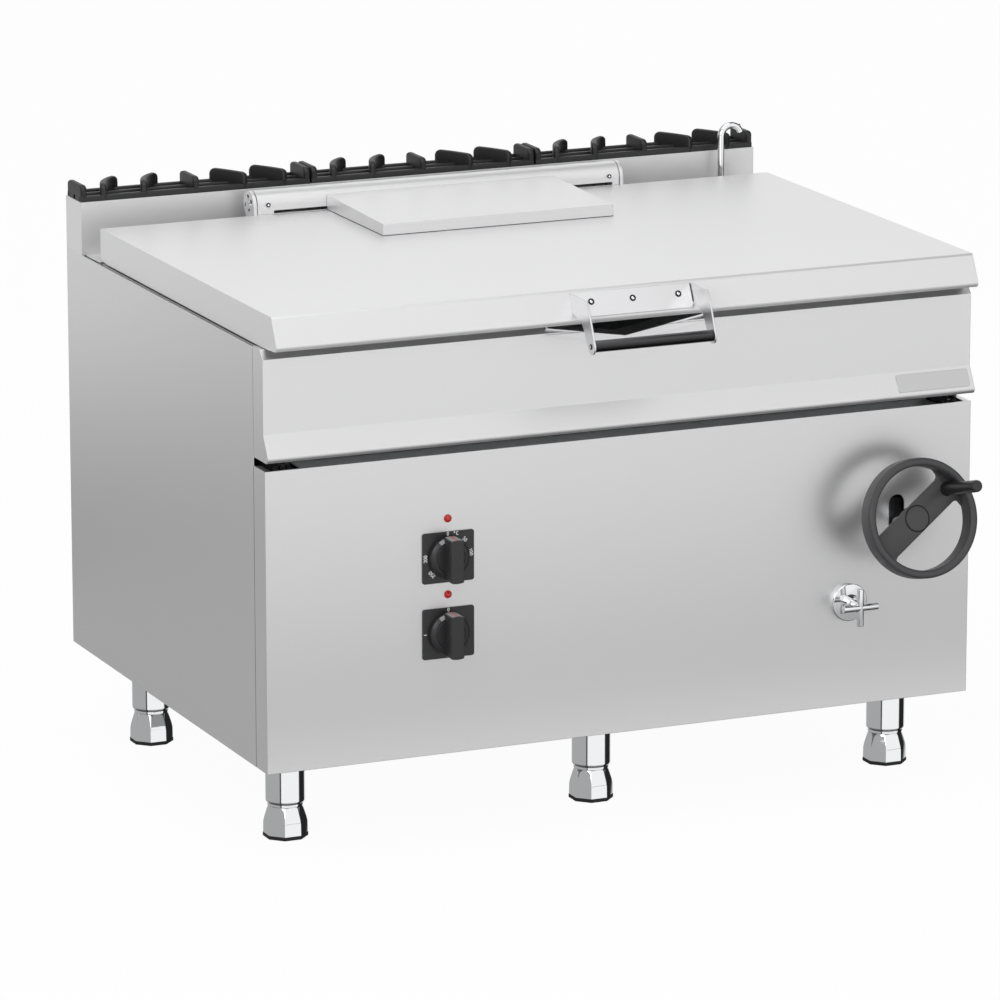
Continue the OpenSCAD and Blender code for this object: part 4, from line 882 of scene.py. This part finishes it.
class BRATT_OT_lid_trim(bpy.types.Operator):
    """Lid handle, screws of the handle and hinge plates, bare plate, painted shadow lines at the side seams and the
    cover's shadow gap
    """

    bl_idname = "bratt.lid_trim"
    bl_label = "Lid trim"

    def execute(self, context):
        skin = Skin()
        bar(skin, (-99.8, HANDLE_Y, HANDLE_Z), (99.8, HANDLE_Y, HANDLE_Z), 9.0, 1.2, 0, 48)
        piece("lid_handle_bar_look", skin, "lid", [FINISHES["bar"]], ["lid_handle_bar"])
        plate, thick = Skin(), 3.0
        z1, z0, zl = 711.0, 682.5, 676.0

        def flange(z, out=0.0):
            """Cabinet y of the lid's front flange at a height, moved out by a distance."""
            return -13 - (712.5 - z) * 0.5 - out

        move = axes((0, 0, 0), (0, 1, 0), (0, 0, 1), (1, 0, 0))
        slab(plate, [(flange(z1), z1), (flange(z1, 1.8), z1), (flange(zl, 1.8), zl), (flange(zl), zl)],
             -99.6, 99.6, move, 0, 0.3)
        ear = [(flange(z1), z1), (flange(z1, 61), z1), (-89.5, 687), (-108, 645.5), (-107.4, 639), (-102.5, 632.8),
               (-95, 630.5), (-87.5, 632.8), (-82, 641.5), (-60, 675), (flange(z0 - 3, 5), z0 - 2), (flange(z0), z0)]
        ear = rounded(ear, [0.5, 3, 20, 3, 5, 5, 5, 5, 8, 20, 3, 0.5], 3)
        for side in (-1, 1):
            slab(plate, ear, *sorted((side * 100.0, side * (100.0 + thick))), move, 0, 0.5)
            # Thin near-black strips beside each ear: painted shadow where the ear meets the front plate
            slot = [(flange(z1 - 1, 2.0), z1 - 1), (flange(z0 + 2, 2.0), z0 + 2), (flange(z0 + 2, 1.0), z0 + 2),
                    (flange(z1 - 1, 1.0), z1 - 1)]
            slab(plate, slot, *sorted((side * 98.6, side * 99.8)), move, 1)
        piece("lid_handle_bracket_look", plate, "lid", [FINISHES["bright"], FINISHES["dark"]],
              ["lid_handle_bracket"])
        skin = Skin()
        up = np.array([0.0, 0.4472, 0.8944])
        n = np.array([0.0, -0.8944, 0.4472])
        for x in (-70.0, 0.0, 77.0):
            screw(skin, axes((x, flange(697.0, 1.8), 697.0), (1, 0, 0), up, n), 5.2)
        for side in (-1, 1):
            screw(skin, axes((side * 103, HANDLE_Y, HANDLE_Z), (0, side, 0), (0, 0, 1), (side, 0, 0)), 4.4)
            for dy, dz in ((-11, 6), (2, 13), (-2, -8), (12, -2)):
                screw(skin, axes((side * 328.5, ROLL_Y + dy, ROLL_Z + dz), (0, side, 0), (0, 0, 1), (side, 0, 0)),
                      3.0)
            screw(skin, axes((side * 303, 724.6, 731), (1, 0, 0), (0, 0, 1), (0, -1, 0)), 3.6)
        badge = Skin()
        slope = np.array([0.0, 18.5, 33.0]) / math.hypot(18.5, 33.0)
        out = np.array([0.0, -slope[2], slope[1]])
        move = axes((530.0, -3.75, 514.5), (1, 0, 0), slope, out)
        w, h = PLATE_HALF_W, PLATE_HALF_H
        slab(badge, rounded([(-w, -h), (w, -h), (w, h), (-w, h)], 3.0, 4), -0.2, 1.3, move, 0, 0.4)
        piece("blank_plate", badge, "pan", [FINISHES["badge"]], ())
        piece("lid_screws", skin, "lid", [FINISHES["satin_chrome"], FINISHES["dark"]], ())
        # Near-black strips over the joints between front and side panels: painted shadow of the seams' gaps
        seam_shade_strips, up_z = Skin(), axes((0, 0, 0), (1, 0, 0), (0, 1, 0), (0, 0, 1))
        for side in (-1, 1):
            x = sorted((side * 600.06, side * 599.4))
            slab(seam_shade_strips, [(x[0], 45.9), (x[1], 45.9), (x[1], 47.1), (x[0], 47.1)], 1, 474, up_z, 0)
        piece("side_seams", seam_shade_strips, "cabinet", [FINISHES["seam"]], ())
        # Near-black strip under the cover plate's edges: painted shadow of the gap
        gap = Skin()
        w, y1 = COVER_HALF, ROLL_Y - ROLL_R - 1.5
        slab(gap, [(-w, y1 - COVER_DEEP), (w, y1 - COVER_DEEP), (w, y1), (-w, y1)], 715.4, 716.5, up_z, 0)
        piece("cover_shadow_gap", gap, "lid", [FINISHES["seam"]], ())
        return {"FINISHED"}


def ramp(tree, value, stops):
    """Colour ramp of greys over a float socket; stops are (place from 0 to 1, grey)."""
    return S(tree, node(tree, "ValToRGB", [("stops", stops)], [(0, value)]).outputs[0])


def studio(tree, yaw):
    """Light of the room by direction. White to the eye, one soft tone to matt surfaces, and to glossy ones bands.

    The azimuth is atan2(right, forward) about a fixed heading; the height is the direction's z.
    """
    parts = node(tree, "SeparateXYZ", (), [(0, node(tree, "TexCoord").outputs["Generated"])])
    x, y, z = (S(tree, parts.outputs[i]) for i in range(3))
    near = (x * math.sin(yaw) + y * math.cos(yaw)) * -1.0
    right = x * math.cos(yaw) - y * math.sin(yaw)
    azimuth = right.math("ARCTAN2", right, near) / TAU + 0.5
    around = ramp(tree, azimuth, [(a / 360 + 0.5, g) for a, g in STUDIO_AROUND])
    height = ramp(tree, z * 0.5 + 0.5, [(h * 0.5 + 0.5, g) for h, g in STUDIO_HEIGHT])
    path = node(tree, "LightPath").outputs
    eye, gloss = S(tree, path["Is Camera Ray"]), S(tree, path["Is Glossy Ray"])
    level = eye + (1 - eye) * (gloss * around * height + (1 - gloss) * ROOM_TONE)
    put(tree, level, find(tree, "BACKGROUND").inputs["Color"])


# The room's tone to matt surfaces, and the greys that glossy ones see by azimuth in degrees and by height
ROOM_TONE = 0.62
STUDIO_AROUND = ((-180, 1.0), (-152, 1.0), (-146, 0.42), (-30, 0.42), (-27, 0.05), (-22, 0.05), (-19, 1.0),
                 (84, 1.0), (90, 0.02), (138, 0.02), (144, 0.8), (180, 1.0))
STUDIO_HEIGHT = ((-1.0, 0.1), (-0.7, 0.15), (-0.45, 0.7), (-0.3, 1.0), (0.76, 1.0), (0.83, 0.4), (0.9, 0.4),
                 (0.97, 1.0))


# Floor: radius in metres, sides, and the share of white that the eye sees over its shaded colour
FLOOR_R, FLOOR_SIDES, FLOOR_GLOW = 14.0, 64, 0.96


class BRATT_OT_stage(bpy.types.Operator):
    """Floor, soft light, white backdrop and camera"""

    bl_idname = "bratt.stage"
    bl_label = "Stage"

    def execute(self, context):
        scene = context.scene
        colours = scene.bratt_colours
        floor_mat = Finish("floor", tuple(colours.floor), roughness=1.0)
        floor_mat.shader.inputs["Specular IOR Level"].default_value = 0.0
        tree = floor_mat.tree
        glow = node(tree, "Emission", (), [("Color", (1, 1, 1, 1)), ("Strength", 1.0)]).outputs[0]
        part = S(tree, node(tree, "LightPath").outputs["Is Camera Ray"]) * FLOOR_GLOW
        both = node(tree, "MixShader", (), [(0, part), (1, floor_mat.shader.outputs[0]), (2, glow)])
        put(tree, both.outputs[0], find(tree, "OUTPUT_MATERIAL").inputs["Surface"])
        mesh = bpy.data.meshes.new("floor")
        t = np.linspace(0, TAU, FLOOR_SIDES, endpoint=False)
        mesh.from_pydata([(FLOOR_R * math.cos(a), FLOOR_R * math.sin(a), 0.0) for a in t], [],
                         [tuple(range(FLOOR_SIDES))])
        mesh.materials.append(floor_mat.material)
        floor = bpy.data.objects.new("floor", mesh)
        scene.collection.objects.link(floor)
        floor.visible_glossy = False

        def card(name, corners, grey):
            """Reflector card that only glossy rays see; its grey is a function of its finish."""
            mesh = bpy.data.meshes.new(name)
            mesh.from_pydata(corners, [], [(0, 1, 2, 3)])
            paper = Finish(name, (1.0, 1.0, 1.0))
            glow = node(paper.tree, "Emission", (), [("Color", grey(paper)), ("Strength", 1.0)])
            put(paper.tree, glow.outputs[0], find(paper.tree, "OUTPUT_MATERIAL").inputs["Surface"])
            mesh.materials.append(paper.material)
            ob = bpy.data.objects.new(name, mesh)
            scene.collection.objects.link(ob)
            ob.visible_camera = ob.visible_diffuse = ob.visible_shadow = ob.visible_transmission = False

        card("side_card", [(-1.86, 0.94, 0.02), (-0.44, 1.56, 0.02), (-0.44, 1.56, 1.3), (-1.86, 0.94, 1.3)],
             lambda f: ramp(f.tree, (f.axis(2) - 0.02) / 1.28, [(0, 0.34), (0.16, 0.41), (0.4, 0.74), (1, 0.74)]))
        card("front_card", [(-1.2, -3.0, 0.002), (2.6, -3.0, 0.002), (2.6, -0.87, 0.002), (-1.2, -0.87, 0.002)],
             lambda f: ramp(f.tree, (f.axis(1) + 3.0) / 2.13, [(0, 1.0), (0.3, 0.95), (1, 0.4)])
             * ramp(f.tree, (f.axis(0) + 1.2) / 3.8, [(0, 1.0), (0.4, 1.0), (1, 0.78)]))

        world = bpy.data.worlds.new("studio")
        scene.world = world
        world.use_nodes = True
        studio(world.node_tree, math.radians(CAMERA["yaw"]))

        def area(name, spot, to, size, power):
            """Square soft light from a spot towards a point."""
            light = bpy.data.lights.new(name, "AREA")
            light.shape = "RECTANGLE"
            light.size, light.size_y = size, size
            light.energy = power
            ob = bpy.data.objects.new(name, light)
            ob.location = spot
            ob.rotation_mode = "QUATERNION"
            ob.rotation_quaternion = (Vector(to) - Vector(spot)).to_track_quat("-Z", "Y")
            scene.collection.objects.link(ob)

        area("key_top", (-0.8, -0.6, 4.2), (0, 0, 0.5), 3.6, 55)
        area("front_left", (-3.4, -3.6, 2.4), (0, 0, 0.5), 2.4, 45)

        cam_data = bpy.data.cameras.new("camera")
        cam = bpy.data.objects.new("camera", cam_data)
        scene.collection.objects.link(cam)
        scene.camera = cam
        cam_data.sensor_width = SENSOR
        cam_data.lens = SENSOR * CAMERA["focal_px"] / FRAME_PX
        yaw, pitch, roll = (math.radians(CAMERA[k]) for k in ("yaw", "pitch", "roll"))
        right = Vector((math.cos(yaw), -math.sin(yaw), 0))
        ahead = Vector((math.sin(yaw) * math.cos(pitch), math.cos(yaw) * math.cos(pitch), -math.sin(pitch)))
        up = right.cross(ahead)
        r2 = right * math.cos(roll) + up * math.sin(roll)
        u2 = up * math.cos(roll) - right * math.sin(roll)
        cam.matrix_world = Matrix.Translation(Vector(CAMERA["at"])) @ Matrix((r2, u2, -ahead)).transposed().to_4x4()
        cam_data.clip_end = 60.0
        scene.view_settings.view_transform = "Standard"
        return {"FINISHED"}


# Camera fitted to the photograph: metres, degrees and pixels, its sensor in millimetres and the frame's width
SENSOR, FRAME_PX = 36.0, 1000.0
CAMERA = {"at": (-4.106884, -9.225288, 2.908178), "yaw": 23.68822, "pitch": 13.764325, "roll": -0.028534,
          "focal_px": 6501.7075}

STEPS = (BRATT_OT_finishes, BRATT_OT_handwheel, BRATT_OT_grates, BRATT_OT_controls, BRATT_OT_tap,
         BRATT_OT_spout, BRATT_OT_feet, BRATT_OT_lid_trim, BRATT_OT_stage)


class BRATT_PT_panel(bpy.types.Panel):
    """Sizes, colours and steps of the bratt pan"""

    bl_idname = "BRATT_PT_panel"
    bl_label = "Bratt pan"
    bl_space_type = "VIEW_3D"
    bl_region_type = "UI"
    bl_category = "Bratt pan"

    def draw(self, context):
        for group in (context.scene.bratt_sizes, context.scene.bratt_colours):
            box = self.layout.box()
            for key in group.__annotations__:
                box.prop(group, key)
        for step in STEPS:
            self.layout.operator(step.bl_idname)


CLASSES = (BrattSizes, BrattColours) + STEPS + (BRATT_PT_panel,)


def register():
    """Registers the classes and the scene's properties."""
    for c in CLASSES:
        bpy.utils.register_class(c)
    bpy.types.Scene.bratt_sizes = PointerProperty(type=BrattSizes)
    bpy.types.Scene.bratt_colours = PointerProperty(type=BrattColours)


def unregister():
    """Removes what register added."""
    del bpy.types.Scene.bratt_sizes
    del bpy.types.Scene.bratt_colours
    for c in reversed(CLASSES):
        bpy.utils.unregister_class(c)


def main():
    """Builds everything in order."""
    register()
    for step in STEPS:
        group, name = step.bl_idname.split(".")
        getattr(getattr(bpy.ops, group), name)()


if __name__ == "__main__":
    main()
